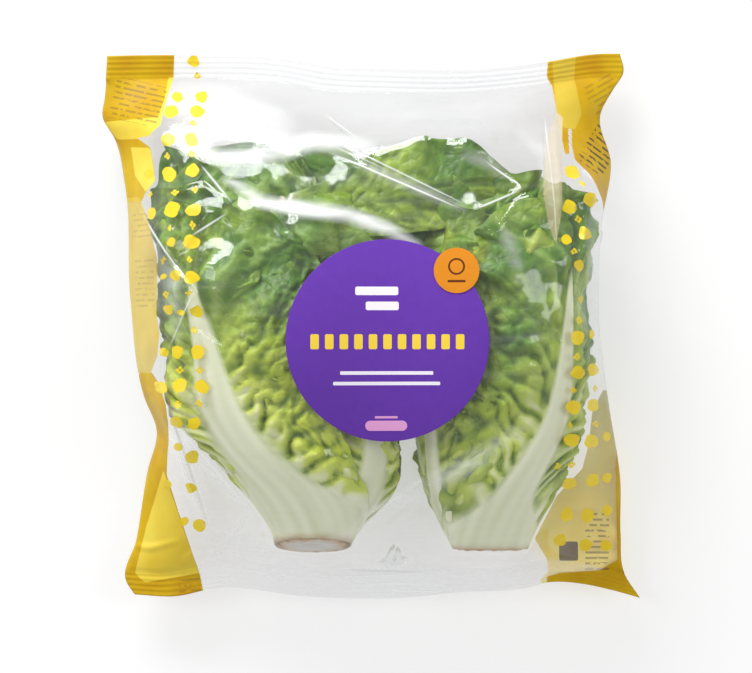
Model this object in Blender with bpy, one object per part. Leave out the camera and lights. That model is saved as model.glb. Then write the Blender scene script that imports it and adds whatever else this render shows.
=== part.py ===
"""A clear film bag, sealed across both ends, lying on its back with two lettuce hearts inside it.

The bag is solid out to its film: a sealed clear bag can't be reached into. A round label is stuck
across the two hearts, and a small round sticker overlaps its edge. +X is the bag's right, +Y runs
from the cut ends of the hearts to their leaf tips, and +Z is up, out of the shown face.
"""
import math

import bmesh
import bpy
import numpy as np
from mathutils import Matrix

MM = 0.001

# The outline of the bag as it lies, in mm from its middle: (along Y, X) down each side,
# and (along X, Y) across each end.
LEFT_SIDE = (
    (-114.5, -98.0), (-108.0, -102.5), (-90.0, -98.5), (-61.0, -93.5), (-44.0, -89.5),
    (-30.0, -94.5), (10.0, -100.0), (59.0, -103.0), (78.0, -107.5), (87.0, -112.6),
    (96.0, -111.7), (114.0, -110.5),
)
RIGHT_SIDE = (
    (-114.5, 113.0), (-105.0, 106.8), (-88.0, 104.8), (-66.0, 104.5), (-32.0, 99.0),
    (0.0, 95.0), (43.0, 96.5), (68.0, 100.5), (89.0, 96.5), (98.7, 101.6), (106.0, 106.0),
    (114.0, 104.6),
)
BOTTOM_END = (
    (-113.0, -113.0), (-98.0, -113.8), (-70.0, -110.0), (-38.0, -114.0), (3.0, -114.8),
    (35.0, -112.0), (64.0, -110.4), (78.0, -107.8), (92.0, -108.8), (104.0, -111.8), (113.0, -114.8),
)
TOP_END = (
    (-113.0, 112.8), (-84.0, 113.4), (-34.0, 112.0), (-18.0, 109.0), (8.0, 107.4),
    (44.0, 107.0), (74.0, 109.8), (105.0, 114.0), (113.0, 114.0),
)

# The heat-sealed band at each end, with its crimps running across the bag.
SEAL_WIDTH = 10.0
SEAL_HEIGHT = 12.0
SEAL_SWAY = 2.2
SEAL_SWAY_LENGTH = 21.0
CRIMPS = 4
CRIMP_DEPTH = 0.4

# The side folds hang a little over the floor, highest beside the hearts.
FOLD_HEIGHT_AT_ENDS = 12.0
FOLD_HEIGHT_AT_MIDDLE = 23.0
HALF_LENGTH = 100.0
EDGE_THICKNESS = 1.3
LEAST_THICKNESS = 1.4
FILM_PUFF = 0.012
SETTLING_STEPS = 3000

# Grid of the film: cells across the bag, cells along it between the seals, cells in each seal.
CELLS_ACROSS = 50
CELLS_ALONG = 40
CELLS_IN_SEAL = 2 * CRIMPS

# Each heart: (along Y, value) for its axis, half width, half thickness and height of its axis.
LEFT_HEART = {
    "axis": ((-91.0, -18.5), (-72.0, -22.5), (-52.0, -28.5), (-31.0, -35.0), (10.0, -37.0), (72.0, -41.0)),
    "half_width": ((-91.0, 24.0), (-72.0, 35.0), (-52.0, 43.0), (-31.0, 48.0), (10.0, 48.5), (52.0, 49.0),
                   (66.0, 43.0), (76.0, 28.0)),
    "half_thickness": ((-91.0, 18.0), (-60.0, 28.0), (-20.0, 33.0), (20.0, 33.0), (55.0, 26.0), (76.0, 14.0)),
    "height": ((-91.0, 27.0), (-60.0, 31.0), (-20.0, 33.0), (20.0, 33.0), (55.0, 28.0), (76.0, 25.0)),
    "rib": ((-88.0, -24.0), (-60.0, -36.0), (-30.0, -50.0), (0.0, -64.0), (25.0, -73.0)),
}
RIGHT_HEART = {
    "axis": ((-93.0, 49.0), (-72.0, 48.5), (-31.0, 51.0), (10.0, 51.5), (52.0, 53.0), (72.0, 49.0)),
    "half_width": ((-93.0, 16.5), (-72.0, 27.0), (-52.0, 33.0), (-31.0, 37.5), (10.0, 39.5), (52.0, 41.0),
                   (66.0, 36.0), (76.0, 24.0)),
    "half_thickness": ((-93.0, 15.0), (-60.0, 26.0), (-20.0, 31.0), (20.0, 31.0), (55.0, 25.0), (76.0, 14.0)),
    "height": ((-93.0, 24.0), (-60.0, 29.0), (-20.0, 31.0), (20.0, 31.0), (55.0, 27.0), (76.0, 25.0)),
    "rib": ((-86.0, 56.0), (-60.0, 68.0), (-35.0, 78.0), (-5.0, 84.0), (20.0, 84.0)),
}
SECTION_ROUNDNESS = 2.3
UNDERSIDE_PRESS = 1.22
RIB_HALF_WIDTH = 8.0
RIB_RISE = 3.0
LEAF_FOLD_PITCH = 17.0
LEAF_FOLD_RISE = 1.7
LEAF_FOLD_SLANT = 0.6

# Folds that stand up in the film: start, end, half width and rise.
FILM_FOLDS = (
    ((-58.0, 66.0), (-30.0, 50.0), 5.5, 2.6),
    ((-30.0, 50.0), (24.0, 35.0), 6.0, 3.0),
    ((-18.0, 73.0), (40.0, 46.0), 4.5, 2.2),
    ((40.0, 46.0), (63.0, 57.0), 4.5, 1.8),
    ((63.0, 57.0), (46.0, 78.0), 4.5, 1.6),
    ((-85.0, 76.0), (-58.0, 62.0), 5.0, 2.2),
    ((0.0, -92.0), (42.0, -53.0), 5.0, 2.0),
    ((-60.0, -104.0), (-38.0, -88.0), 5.0, 1.8),
    ((80.0, 68.0), (77.0, 20.0), 5.0, 1.8),
)

LABEL_RADIUS = 40.6
LABEL_CENTRE = (6.8, -6.4)
STICKER_RADIUS = 9.1
STICKER_CENTRE = (34.3, 21.6)
PAPER_THICKNESS = 0.5
STUCK_GAP = 0.35
LABEL_RINGS, LABEL_SEGMENTS = 7, 48
STICKER_RINGS, STICKER_SEGMENTS = 3, 24

FILM_COLOUR = (0.82, 0.88, 0.80, 1.0)
LABEL_COLOUR = (0.130, 0.044, 0.386, 1.0)
STICKER_COLOUR = (0.75, 0.31, 0.032, 1.0)


def curve_through(points, at):
    """A smooth curve through (position, value) points, read at the positions given."""
    place, value = np.array(points).T
    slope = np.gradient(value, place)
    at = np.clip(at, place[0], place[-1])
    i = np.clip(np.searchsorted(place, at) - 1, 0, len(place) - 2)
    span = place[i + 1] - place[i]
    t = (at - place[i]) / span
    rise = (3 - 2 * t) * t**2
    return (
        value[i] * (1 - rise) + value[i + 1] * rise
        + span * (slope[i] * t * (1 - t) ** 2 - slope[i + 1] * (1 - t) * t**2)
    )


def bump(distance, half_width):
    """1 in the middle of a ridge, falling smoothly to 0 at its half width."""
    return np.cos(np.clip(np.abs(distance) / half_width, 0, 1) * math.pi / 2) ** 2


def film_plan():
    """The plan position of each grid point, rows from the bottom seal to the top one."""
    u = np.linspace(-1, 1, CELLS_ACROSS + 1)
    seal = SEAL_WIDTH / (TOP_END[0][1] - BOTTOM_END[0][1])
    v = np.concatenate([
        np.linspace(0, seal, CELLS_IN_SEAL + 1)[:-1],
        np.linspace(seal, 1 - seal, CELLS_ALONG + 1),
        np.linspace(1 - seal, 1, CELLS_IN_SEAL + 1)[1:],
    ])
    u, v = np.meshgrid(u, v)
    across = u * RIGHT_SIDE[0][1]
    low, high = curve_through(BOTTOM_END, across), curve_through(TOP_END, across)
    y = low + v * (high - low)
    left, right = curve_through(LEFT_SIDE, y), curve_through(RIGHT_SIDE, y)
    return left + (u + 1) / 2 * (right - left), y


def heart_section(heart, x, y):
    """Which points of the plan a heart covers, and how far it rises above its axis there."""
    across = np.abs(x - curve_through(heart["axis"], y)) / curve_through(heart["half_width"], y)
    covered = (y > heart["axis"][0][0]) & (y < heart["half_width"][-1][0]) & (across < 1)
    arc = (1 - np.minimum(across, 1) ** SECTION_ROUNDNESS) ** (1 / SECTION_ROUNDNESS)
    return covered, arc * curve_through(heart["half_thickness"], y)


def leaf_relief(heart, x, y):
    """The outer leaf's thick midrib, and the soft folds that fan out from it."""
    off_rib = x - curve_through(heart["rib"], y)
    along_rib = (y > heart["rib"][0][0]) & (y < heart["rib"][-1][0])
    folds = np.cos(2 * math.pi * (y - LEAF_FOLD_SLANT * np.abs(off_rib)) / LEAF_FOLD_PITCH)
    away = 1 - bump(off_rib, 2.2 * RIB_HALF_WIDTH)
    return RIB_RISE * bump(off_rib, RIB_HALF_WIDTH) * along_rib + LEAF_FOLD_RISE * folds * away


def heart_top(heart, x, y):
    """The height of a heart's upper side, with nothing where it isn't."""
    covered, rise = heart_section(heart, x, y)
    return np.where(covered, curve_through(heart["height"], y) + rise + leaf_relief(heart, x, y), -np.inf)


def heart_underside(heart, x, y):
    """The height of a heart's lower side, pressed flat where it would pass the floor."""
    covered, rise = heart_section(heart, x, y)
    under = np.maximum(curve_through(heart["height"], y) - UNDERSIDE_PRESS * rise, 0)
    return np.where(covered, under, np.inf)


def settled(film, held, low, high, puff):
    """Film pulled tight between the points that hold it, over what lies under it and below what lies on it."""
    film = film.copy()
    for _ in range(SETTLING_STEPS):
        mean = (film[:-2, 1:-1] + film[2:, 1:-1] + film[1:-1, :-2] + film[1:-1, 2:]) / 4 + puff
        free = np.clip(mean, low[1:-1, 1:-1], high[1:-1, 1:-1])
        film[1:-1, 1:-1] = np.where(held[1:-1, 1:-1], film[1:-1, 1:-1], free)
    return film


def eased(height):
    """The same surface with its steps rounded off."""
    eased_height = height.copy()
    inner = (height[:-2, 1:-1] + height[2:, 1:-1] + height[1:-1, :-2] + height[1:-1, 2:]) / 4
    eased_height[1:-1, 1:-1] = (height[1:-1, 1:-1] + inner) / 2
    return eased_height


def film_folds(x, y):
    """The height that the standing folds add to the film."""
    rise = np.zeros_like(x)
    for start, end, half_width, height in FILM_FOLDS:
        start, end = np.array(start), np.array(end)
        run = end - start
        along = np.clip(((x - start[0]) * run[0] + (y - start[1]) * run[1]) / (run @ run), 0, 1)
        distance = np.hypot(x - start[0] - along * run[0], y - start[1] - along * run[1])
        rise = np.maximum(rise, height * bump(distance, half_width))
    return rise


def film_heights(x, y):
    """The height of the shown face and of the underside at each grid point."""
    row = np.arange(x.shape[0])[:, None] + np.zeros_like(x)
    sealed = (row <= CELLS_IN_SEAL) | (row >= x.shape[0] - 1 - CELLS_IN_SEAL)
    at_side = np.zeros_like(sealed)
    at_side[:, 0] = at_side[:, -1] = True
    held = sealed | at_side

    seal_height = SEAL_HEIGHT + SEAL_SWAY * np.sin(x / SEAL_SWAY_LENGTH + np.sign(y))
    lift = np.cos(np.clip(y / HALF_LENGTH, -1, 1) * math.pi / 2) ** 2
    fold_height = FOLD_HEIGHT_AT_ENDS + (FOLD_HEIGHT_AT_MIDDLE - FOLD_HEIGHT_AT_ENDS) * lift
    edge = np.where(sealed, seal_height, fold_height)
    crimps = CRIMP_DEPTH * np.where(row % 2 == 0, 1, -1) * (sealed & ~at_side)

    top_of_hearts = np.maximum(heart_top(LEFT_HEART, x, y), heart_top(RIGHT_HEART, x, y))
    under_hearts = np.minimum(heart_underside(LEFT_HEART, x, y), heart_underside(RIGHT_HEART, x, y))
    open_above = np.full_like(x, np.inf)
    floor = np.zeros_like(x)
    front = settled(edge + EDGE_THICKNESS / 2, held, top_of_hearts, open_above, FILM_PUFF)
    back = settled(edge - EDGE_THICKNESS / 2, held, floor, under_hearts, 0)
    draped = np.maximum(eased(front) + film_folds(x, y), back + LEAST_THICKNESS)
    return np.where(held, front, draped) + crimps, back + crimps


def material(name, colour, roughness):
    made = bpy.data.materials.new(name)
    made.use_nodes = True
    surface = made.node_tree.nodes["Principled BSDF"]
    surface.inputs["Base Color"].default_value = colour
    surface.inputs["Roughness"].default_value = roughness
    return made


def add_object(name, mesh_edit, look, collection):
    """A named object from a bmesh, smooth except at its sharp edges."""
    mesh = bpy.data.meshes.new(name)
    bmesh.ops.recalc_face_normals(mesh_edit, faces=mesh_edit.faces)
    mesh_edit.to_mesh(mesh)
    mesh_edit.free()
    mesh.shade_smooth()
    mesh.set_sharp_from_angle(angle=math.radians(50))
    mesh.materials.append(look)
    made = bpy.data.objects.new(name, mesh)
    collection.objects.link(made)
    return made


def film_sheet(edit, x, y, z):
    """One face of the bag: a grid laid over the plan and lifted to its heights. Returns its vertices by row."""
    made = bmesh.ops.create_grid(edit, x_segments=x.shape[1] - 1, y_segments=x.shape[0] - 1, size=1)
    rows = np.array(made["verts"], dtype=object).reshape(x.shape)
    for vertex, place in zip(rows.flat, np.stack([x, y, z], -1).reshape(-1, 3)):
        vertex.co = place * MM
    return rows


def boundary_loop(rows):
    """The vertices round the edge of a sheet, in order."""
    return [*rows[0, :-1], *rows[:-1, -1], *rows[-1, :0:-1], *rows[:0:-1, 0]]


def build_bag(look, collection):
    """The film out to its seals, solid: two sheets joined all round their edge."""
    x, y = film_plan()
    front, back = film_heights(x, y)
    edit = bmesh.new()
    upper = boundary_loop(film_sheet(edit, x, y, front))
    lower = boundary_loop(film_sheet(edit, x, y, back))
    for i in range(len(upper)):
        edit.faces.new((upper[i - 1], upper[i], lower[i], lower[i - 1]))
    flat = [e for e in edit.edges if all(v.co.z < 1e-6 for v in e.verts)]
    bmesh.ops.dissolve_limit(edit, angle_limit=math.radians(0.1), edges=flat, verts=[])
    bmesh.ops.triangulate(edit, faces=edit.faces)
    return add_object("bag", edit, look, collection)


def height_on(bag, x, y):
    """The height of the bag's shown face over a point of its plan, in metres."""
    hit, place, _, _ = bag.ray_cast((x, y, 0.2), (0, 0, -1))
    if not hit:
        raise ValueError("a label reaches past the bag")
    return place.z


def build_disc(name, bag, centre, radius, rings, segments, gap, look, collection):
    """A round sticker that follows the film: a spun strip laid on the bag, then given its thickness."""
    edit = bmesh.new()
    strip = [edit.verts.new((radius * MM * i / rings, 0, 0)) for i in range(rings + 1)]
    edges = [edit.edges.new(pair) for pair in zip(strip, strip[1:])]
    bmesh.ops.spin(edit, geom=strip + edges, cent=(0, 0, 0), axis=(0, 0, 1), angle=2 * math.pi,
                   steps=segments, use_merge=True)
    bmesh.ops.remove_doubles(edit, verts=edit.verts, dist=1e-6)
    for vertex in edit.verts:
        vertex.co.x += centre[0] * MM
        vertex.co.y += centre[1] * MM
        vertex.co.z = height_on(bag, vertex.co.x, vertex.co.y) + gap * MM
    lifted = bmesh.ops.extrude_face_region(edit, geom=list(edit.faces))["geom"]
    bmesh.ops.translate(edit, vec=(0, 0, PAPER_THICKNESS * MM),
                        verts=[g for g in lifted if isinstance(g, bmesh.types.BMVert)])
    return add_object(name, edit, look, collection)


def centre_on_origin(objects):
    """Puts the middle of the whole in plan on the origin, with its underside at height 0."""
    corners = np.array([v.co for o in objects for v in o.data.vertices])
    low, high = corners.min(0), corners.max(0)
    shift = Matrix.Translation((-(low[0] + high[0]) / 2, -(low[1] + high[1]) / 2, -low[2]))
    for o in objects:
        o.data.transform(shift)


def main():
    for o in list(bpy.data.objects):
        bpy.data.objects.remove(o)
    collection = bpy.data.collections.new("Lettuce bag")
    bpy.context.scene.collection.children.link(collection)
    bag = build_bag(material("film", FILM_COLOUR, 0.12), collection)
    bpy.context.view_layer.update()
    label = build_disc("round_label", bag, LABEL_CENTRE, LABEL_RADIUS, LABEL_RINGS, LABEL_SEGMENTS,
                       STUCK_GAP, material("label_paper", LABEL_COLOUR, 0.35), collection)
    sticker_gap = 2 * STUCK_GAP + PAPER_THICKNESS
    sticker = build_disc("small_sticker", bag, STICKER_CENTRE, STICKER_RADIUS, STICKER_RINGS,
                         STICKER_SEGMENTS, sticker_gap, material("sticker_paper", STICKER_COLOUR, 0.35),
                         collection)
    centre_on_origin([bag, label, sticker])


main()
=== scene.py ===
"""The bag of lettuce hearts: clear film drawn over two crinkled hearts, with its printed folds and labels."""

import math

import bmesh
import bpy
import numpy as np
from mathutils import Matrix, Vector


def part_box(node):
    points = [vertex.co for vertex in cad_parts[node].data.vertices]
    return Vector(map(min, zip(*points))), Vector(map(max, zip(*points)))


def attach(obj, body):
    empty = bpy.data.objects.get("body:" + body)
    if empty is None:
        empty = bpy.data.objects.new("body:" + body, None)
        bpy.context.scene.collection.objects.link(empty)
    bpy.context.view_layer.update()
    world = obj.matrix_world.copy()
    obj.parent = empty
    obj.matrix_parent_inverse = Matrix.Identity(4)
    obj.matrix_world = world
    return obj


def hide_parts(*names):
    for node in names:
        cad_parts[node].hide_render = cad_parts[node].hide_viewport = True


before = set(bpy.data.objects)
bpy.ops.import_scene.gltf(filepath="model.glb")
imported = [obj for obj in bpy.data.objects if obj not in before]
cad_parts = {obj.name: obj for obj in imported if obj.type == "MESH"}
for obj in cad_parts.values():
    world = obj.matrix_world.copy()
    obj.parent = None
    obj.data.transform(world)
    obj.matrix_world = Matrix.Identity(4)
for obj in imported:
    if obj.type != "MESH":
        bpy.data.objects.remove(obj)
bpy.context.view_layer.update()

MM = 0.001

# The outline of the bag as it lies, in mm from its middle: (along Y, X) down each side,
# and (along X, Y) across each end.
LEFT_SIDE = (
    (-114.5, -98.0), (-108.0, -102.5), (-90.0, -98.5), (-61.0, -93.5), (-44.0, -89.5),
    (-30.0, -94.5), (10.0, -100.0), (59.0, -103.0), (78.0, -107.5), (87.0, -112.6),
    (96.0, -111.7), (114.0, -110.5),
)
RIGHT_SIDE = (
    (-114.5, 113.0), (-105.0, 106.8), (-88.0, 104.8), (-66.0, 104.5), (-32.0, 99.0),
    (0.0, 95.0), (43.0, 96.5), (68.0, 100.5), (89.0, 96.5), (98.7, 101.6), (106.0, 106.0),
    (114.0, 104.6),
)
BOTTOM_END = (
    (-113.0, -113.0), (-98.0, -113.8), (-70.0, -110.0), (-38.0, -114.0), (3.0, -114.8),
    (35.0, -112.0), (64.0, -110.4), (78.0, -107.8), (92.0, -108.8), (104.0, -111.8), (113.0, -114.8),
)
TOP_END = (
    (-113.0, 112.8), (-84.0, 113.4), (-34.0, 112.0), (-18.0, 109.0), (8.0, 107.4),
    (44.0, 107.0), (74.0, 109.8), (105.0, 114.0), (113.0, 114.0),
)

# Film: the seal bands and their crimps, the height of the side folds, and the grid it is made on.
SEAL_WIDTH = 10.0
SEAL_HEIGHT = 12.0
SEAL_SWAY = 2.2
SEAL_SWAY_LENGTH = 21.0
CRIMP_PITCH = 2.2
CRIMP_DEPTH = 0.16
FOLD_HEIGHT_AT_ENDS = 12.0
FOLD_HEIGHT_AT_MIDDLE = 23.0
HALF_LENGTH = 100.0
EDGE_THICKNESS = 0.5
LEAST_THICKNESS = 0.5
FILM_PUFF = 0.0006
FILM_CLEARANCE = 0.9
FILM_TAUTNESS = 110
CELLS_ACROSS = 208
CELLS_ALONG = 192
CELLS_IN_SEAL = 18
# The square map of how high the contents reach: its cells and its half size.
MAP_CELL = 1.0
MAP_REACH = 125.0

# Each heart: (along Y, value) for its axis, half width, half thickness and height of its axis.
LEFT_HEART = {
    "axis": ((-91.0, -24.0), (-81.0, -22.5), (-70.0, -22.5), (-58.0, -25.0), (-31.0, -34.0), (10.0, -37.0),
             (72.0, -41.0)),
    "half_width": ((-91.0, 16.5), (-86.0, 18.5), (-81.0, 22.0), (-70.0, 31.0), (-58.0, 38.5), (-46.0, 43.0),
                   (-31.0, 46.5), (10.0, 48.5), (52.0, 49.0), (66.0, 43.0), (76.0, 28.0), (86.0, 20.0)),
    "half_thickness": ((-91.0, 17.0), (-60.0, 28.0), (-20.0, 33.0), (20.0, 33.0), (55.0, 26.0),
                       (76.0, 14.0), (86.0, 9.0)),
    "height": ((-91.0, 27.0), (-60.0, 31.0), (-20.0, 33.0), (20.0, 33.0), (55.0, 28.0), (76.0, 25.0)),
    "cut": -91.0,
    "slant": 0.24,
    "foot_green": 0.1,
}
RIGHT_HEART = {
    "axis": ((-93.0, 49.5), (-72.0, 48.5), (-31.0, 50.5), (10.0, 51.5), (52.0, 53.0), (72.0, 49.0)),
    "half_width": ((-93.0, 16.5), (-72.0, 26.0), (-54.0, 32.5), (-31.0, 37.5), (5.0, 38.5), (28.0, 36.0),
                   (46.0, 34.0), (58.0, 32.0), (65.0, 26.0), (72.0, 18.0)),
    "half_thickness": ((-93.0, 15.0), (-60.0, 26.0), (-20.0, 31.0), (20.0, 31.0), (55.0, 25.0),
                       (76.0, 14.0), (86.0, 9.0)),
    "height": ((-93.0, 24.0), (-60.0, 29.0), (-20.0, 31.0), (20.0, 31.0), (55.0, 27.0), (76.0, 25.0)),
    "cut": -93.0,
    "slant": 0.05,
    "foot_green": 0.5,
}
SECTION_ROUNDNESS = 2.3
UNDERSIDE_PRESS = 1.22
CUT_SLANT_REACH = 40.0
REST_HEIGHT = 0.8
# Where the core and the cut stem lie along a heart, from its cut, and how deep under its hull.
CORE_FROM = 22
CORE_TO = 146
CORE_DEPTH = 15.0
STEM_LENGTH = 26
STEM_DEPTH = 2.6

# Leaves, outermost last. A path is the rib's angle round the heart's axis at shares of its length:
# 90 faces up, 0 the bag's right. Lengths are mm. green runs from heart-pale to dark.
LEAF_KEYS = ("path", "base", "tip", "half_width", "depth", "rib", "crinkle", "ruffle", "flare", "green")
LEFT_LEAVES = {
    "inner": (
        (((0, 80), (1, 90)), -60, 70, 42, 15.0, 7, 1.2, 3.0, 2.0, 0.50),
        (((0, 150), (1, 130)), -60, 74, 42, 14.0, 7, 1.0, 3.5, 3.0, 0.85),
        (((0, 20), (1, 36)), -60, 72, 42, 14.0, 7, 1.2, 3.5, 8.0, 0.85),
        (((0, 270), (1, 270)), -60, 66, 46, 13.0, 7, 1.4, 3.0, 0.0, 0.60),
    ),
    "middle": (
        (((0, 112), (1, 100)), -80, 74, 46, 9.0, 9, 0.9, 4.0, 1.0, 1.00),
        (((0, 55), (1, 58)), -80, 73, 44, 8.0, 9, 1.0, 4.0, 3.0, 0.95),
        (((0, 165), (1, 146)), -80, 75, 44, 8.5, 9, 1.2, 4.0, 3.0, 0.95),
        (((0, 215), (1, 210)), -80, 70, 46, 7.0, 9, 1.8, 4.0, 1.0, 0.80),
        (((0, 325), (1, 345)), -80, 74, 46, 7.0, 9, 1.8, 4.0, 7.0, 0.90),
    ),
    "outer": (
        (((0, 272), (1, 276)), -91, 58, 56, 0.5, 16, 2.2, 3.0, 0.0, 0.80),
        (((0, 190), (0.5, 180), (1, 176)), -90, 58, 46, 4.0, 14, 3.0, 4.0, 2.0, 0.90),
        (((0, 352), (1, 358)), -90, 62, 44, 4.2, 13, 2.6, 4.0, 3.0, 0.90),
        (((0, 46), (0.3, 32), (1, 28)), -91, 56, 50, 3.8, 9, 3.6, 4.0, 1.0, 0.85),
        (((0, 102), (0.16, 124), (0.3, 134), (0.42, 136), (0.55, 138), (0.7, 138), (1, 144)),
         -91, 50, 60, 0.0, 21, 4.0, 4.5, 1.0, 0.90),
    ),
}
RIGHT_LEAVES = {
    "inner": (
        (((0, 85), (1, 90)), -60, 62, 36, 14.0, 7, 1.2, 3.0, 2.0, 0.55),
        (((0, 150), (1, 148)), -60, 63, 36, 13.0, 7, 1.2, 3.0, 9.0, 0.90),
        (((0, 270), (1, 270)), -60, 60, 40, 12.5, 7, 1.4, 3.0, 0.0, 0.60),
    ),
    "middle": (
        (((0, 30), (1, 44)), -80, 60, 38, 8.0, 9, 1.0, 3.5, 2.0, 0.95),
        (((0, 140), (0.7, 128), (1, 84)), -80, 63, 42, 7.0, 9, 0.6, 2.5, 1.0, 1.00),
        (((0, 88), (1, 76)), -80, 60, 38, 6.0, 9, 1.2, 4.0, 2.0, 0.85),
        (((0, 200), (1, 182)), -80, 64, 40, 6.5, 9, 1.8, 4.0, 7.0, 0.90),
        (((0, 325), (1, 330)), -80, 61, 40, 6.5, 9, 1.8, 4.0, 1.0, 0.80),
    ),
    "outer": (
        (((0, 270), (1, 266)), -93, 56, 50, 0.5, 13, 2.2, 3.0, 0.0, 0.80),
        (((0, 185), (1, 178)), -92, 54, 40, 3.8, 12, 2.6, 4.0, 3.0, 0.90),
        (((0, 350), (1, 358)), -92, 58, 40, 3.8, 12, 2.6, 4.0, 1.0, 0.95),
        (((0, 150), (0.4, 146), (1, 142)), -93, 46, 44, 3.4, 6, 2.0, 2.5, 1.0, 0.70),
        (((0, 90), (0.14, 66), (0.32, 45), (0.5, 39), (1, 36)), -93, 54, 48, 0.0, 12, 3.4, 4.5, 1.0, 0.90),
    ),
}
# Leaves that lean loosely over the hearts' tips: a hull of their own, swung round a point of the plan.
LOOSE_LEAVES = {
    "across_top": {
        "axis": ((-30.0, 69.0), (90.0, 69.0)),
        "half_width": ((-30.0, 45.0), (40.0, 45.0), (90.0, 40.0)),
        "half_thickness": ((-30.0, 27.0), (20.0, 28.0), (50.0, 26.0), (75.0, 17.0)),
        "height": ((-30.0, 24.0), (90.0, 24.0)),
        "cut": -60.0,
        "slant": 0.0,
        "swing": ((55.0, 65.0), -80.0),
        "leaf": (((0, 106), (1, 110)), -28, 70, 23, 0.0, 1, 0.5, 1.6, 0.0, 0.85),
    },
    "between": {
        "axis": ((-30.0, 14.0), (90.0, 14.0)),
        "half_width": ((-30.0, 40.0), (40.0, 40.0), (90.0, 36.0)),
        "half_thickness": ((-30.0, 30.0), (20.0, 27.0), (60.0, 21.0), (80.0, 12.0)),
        "height": ((-30.0, 22.0), (90.0, 22.0)),
        "cut": -60.0,
        "slant": 0.0,
        "swing": ((14.0, 72.0), -20.0),
        "leaf": (((0, 92), (1, 88)), -28, 72, 26, 2.0, 2, 1.0, 2.5, 0.0, 1.05),
    },
    "tip_right": {
        "axis": ((-30.0, 65.0), (90.0, 64.0)),
        "half_width": ((-30.0, 30.0), (40.0, 30.0), (90.0, 24.0)),
        "half_thickness": ((-30.0, 30.0), (30.0, 30.0), (60.0, 20.0), (80.0, 10.0)),
        "height": ((-30.0, 26.0), (90.0, 26.0)),
        "cut": -40.0,
        "slant": 0.0,
        "swing": ((64.0, 50.0), -18.0),
        "leaf": (((0, 92), (1, 88)), 0, 63, 22, 2.0, 4, 0.8, 2.5, 0.0, 0.85),
    },
    "tip_left": {
        "axis": ((-30.0, -70.0), (90.0, -70.0)),
        "half_width": ((-30.0, 26.0), (40.0, 26.0), (90.0, 22.0)),
        "half_thickness": ((-30.0, 26.0), (20.0, 24.0), (60.0, 14.0), (80.0, 9.0)),
        "height": ((-30.0, 22.0), (90.0, 22.0)),
        "cut": -40.0,
        "slant": 0.0,
        "swing": ((-70.0, 40.0), 26.0),
        "leaf": (((0, 92), (1, 88)), 0, 76, 20, 1.0, 4, 0.8, 2.5, 0.0, 1.00),
    },
}
# How green a loose leaf is at its foot: a share of its green, as foot_green is for a heart's leaves.
LOOSE_FOOT_GREEN = 0.8
# The rule that makes a leaf, in mm and in shares of its length, with its grid of rows and columns.
LEAF_GRIDS = {"inner": (92, 64), "middle": (132, 92), "outer": (150, 104), "loose": (110, 76)}
BLADE_THICKNESS = 0.5
RIB_THICKNESS = 4.0
VEIN_PITCH = 8.6
VEIN_SLANT = 0.45
VEIN_FAN = 0.6
VEIN_STEEPENING = 1.9
WIDER_VEINS_ABOVE = 0.42
CROSS_VEIN_PITCH = 9.0
RIDGE_RISE = 2.0
RIB_END = 0.85
TIP_ROWS = 16
RUFFLE_LENGTH = 23.0

# Folds that stand up in the film: points (X, Y) along each, then its half width and rise.
FILM_FOLDS = (
    (((-74, 68), (-66, 58), (-56, 50)), 2.6, 1.6),
    (((-32, 49), (-14, 45), (4, 42), (24, 34)), 6.0, 2.2),
    (((-20, 71), (10, 58), (39, 45)), 1.5, 1.2),
    (((-17, 74.5), (12, 62), (39, 47.5)), 1.3, 1.0),
    (((10.6, 66), (34.5, 53)), 1.2, 0.8),
    (((41, 45.5), (61.5, 55), (54, 63)), 1.5, 1.2),
    (((61.5, 55), (50, 59), (40, 61.5)), 1.3, 1.0),
    (((-70, 38), (-66, 44), (-58, 44)), 1.6, 1.0),
    (((64, 24), (70, 27), (75, 24)), 3.0, 1.6),
    (((-98, 53), (-88, 36), (-79, 22), (-70, 11), (-80, -3), (-90, -22)), 1.8, 2.2),
    (((-90, -26), (-84, -40), (-76, -62), (-68, -84), (-66, -100)), 1.8, 1.8),
    (((0, -81), (20, -66), (41, -49)), 3.2, 1.4),
    (((6, -84), (26, -66)), 1.4, 0.9),
    (((-64, -86), (-56, -76), (-52, -70)), 1.8, 1.4),
    (((-50, -108), (-44, -100), (-30, -96)), 2.4, 1.4),
    (((76, 88), (77, 60), (75, 30)), 1.6, 1.6),
    (((94, 64), (86, 34), (90, 0), (93, -30)), 1.8, 2.0),
    (((84, 54), (88, 46), (82, 45), (84, 54)), 1.3, 0.9),
    (((75, 50), (77, 42), (74, 36)), 1.4, 1.0),
    (((6, -104), (12, -94), (9, -88)), 1.4, 1.8),
    (((12, -92), (20, -98), (24, -94)), 1.2, 1.4),
    (((28, 71), (36, 72), (44, 68)), 2.6, 0.9),
)
SMALL_FOLDS = 60
# Where the film stands off the hearts' shoulder: (X, Y), reach across and along, and rise.
PUFFED_CORNER = (-62.0, 83.0), (36.0, 14.0), 7.0
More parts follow.
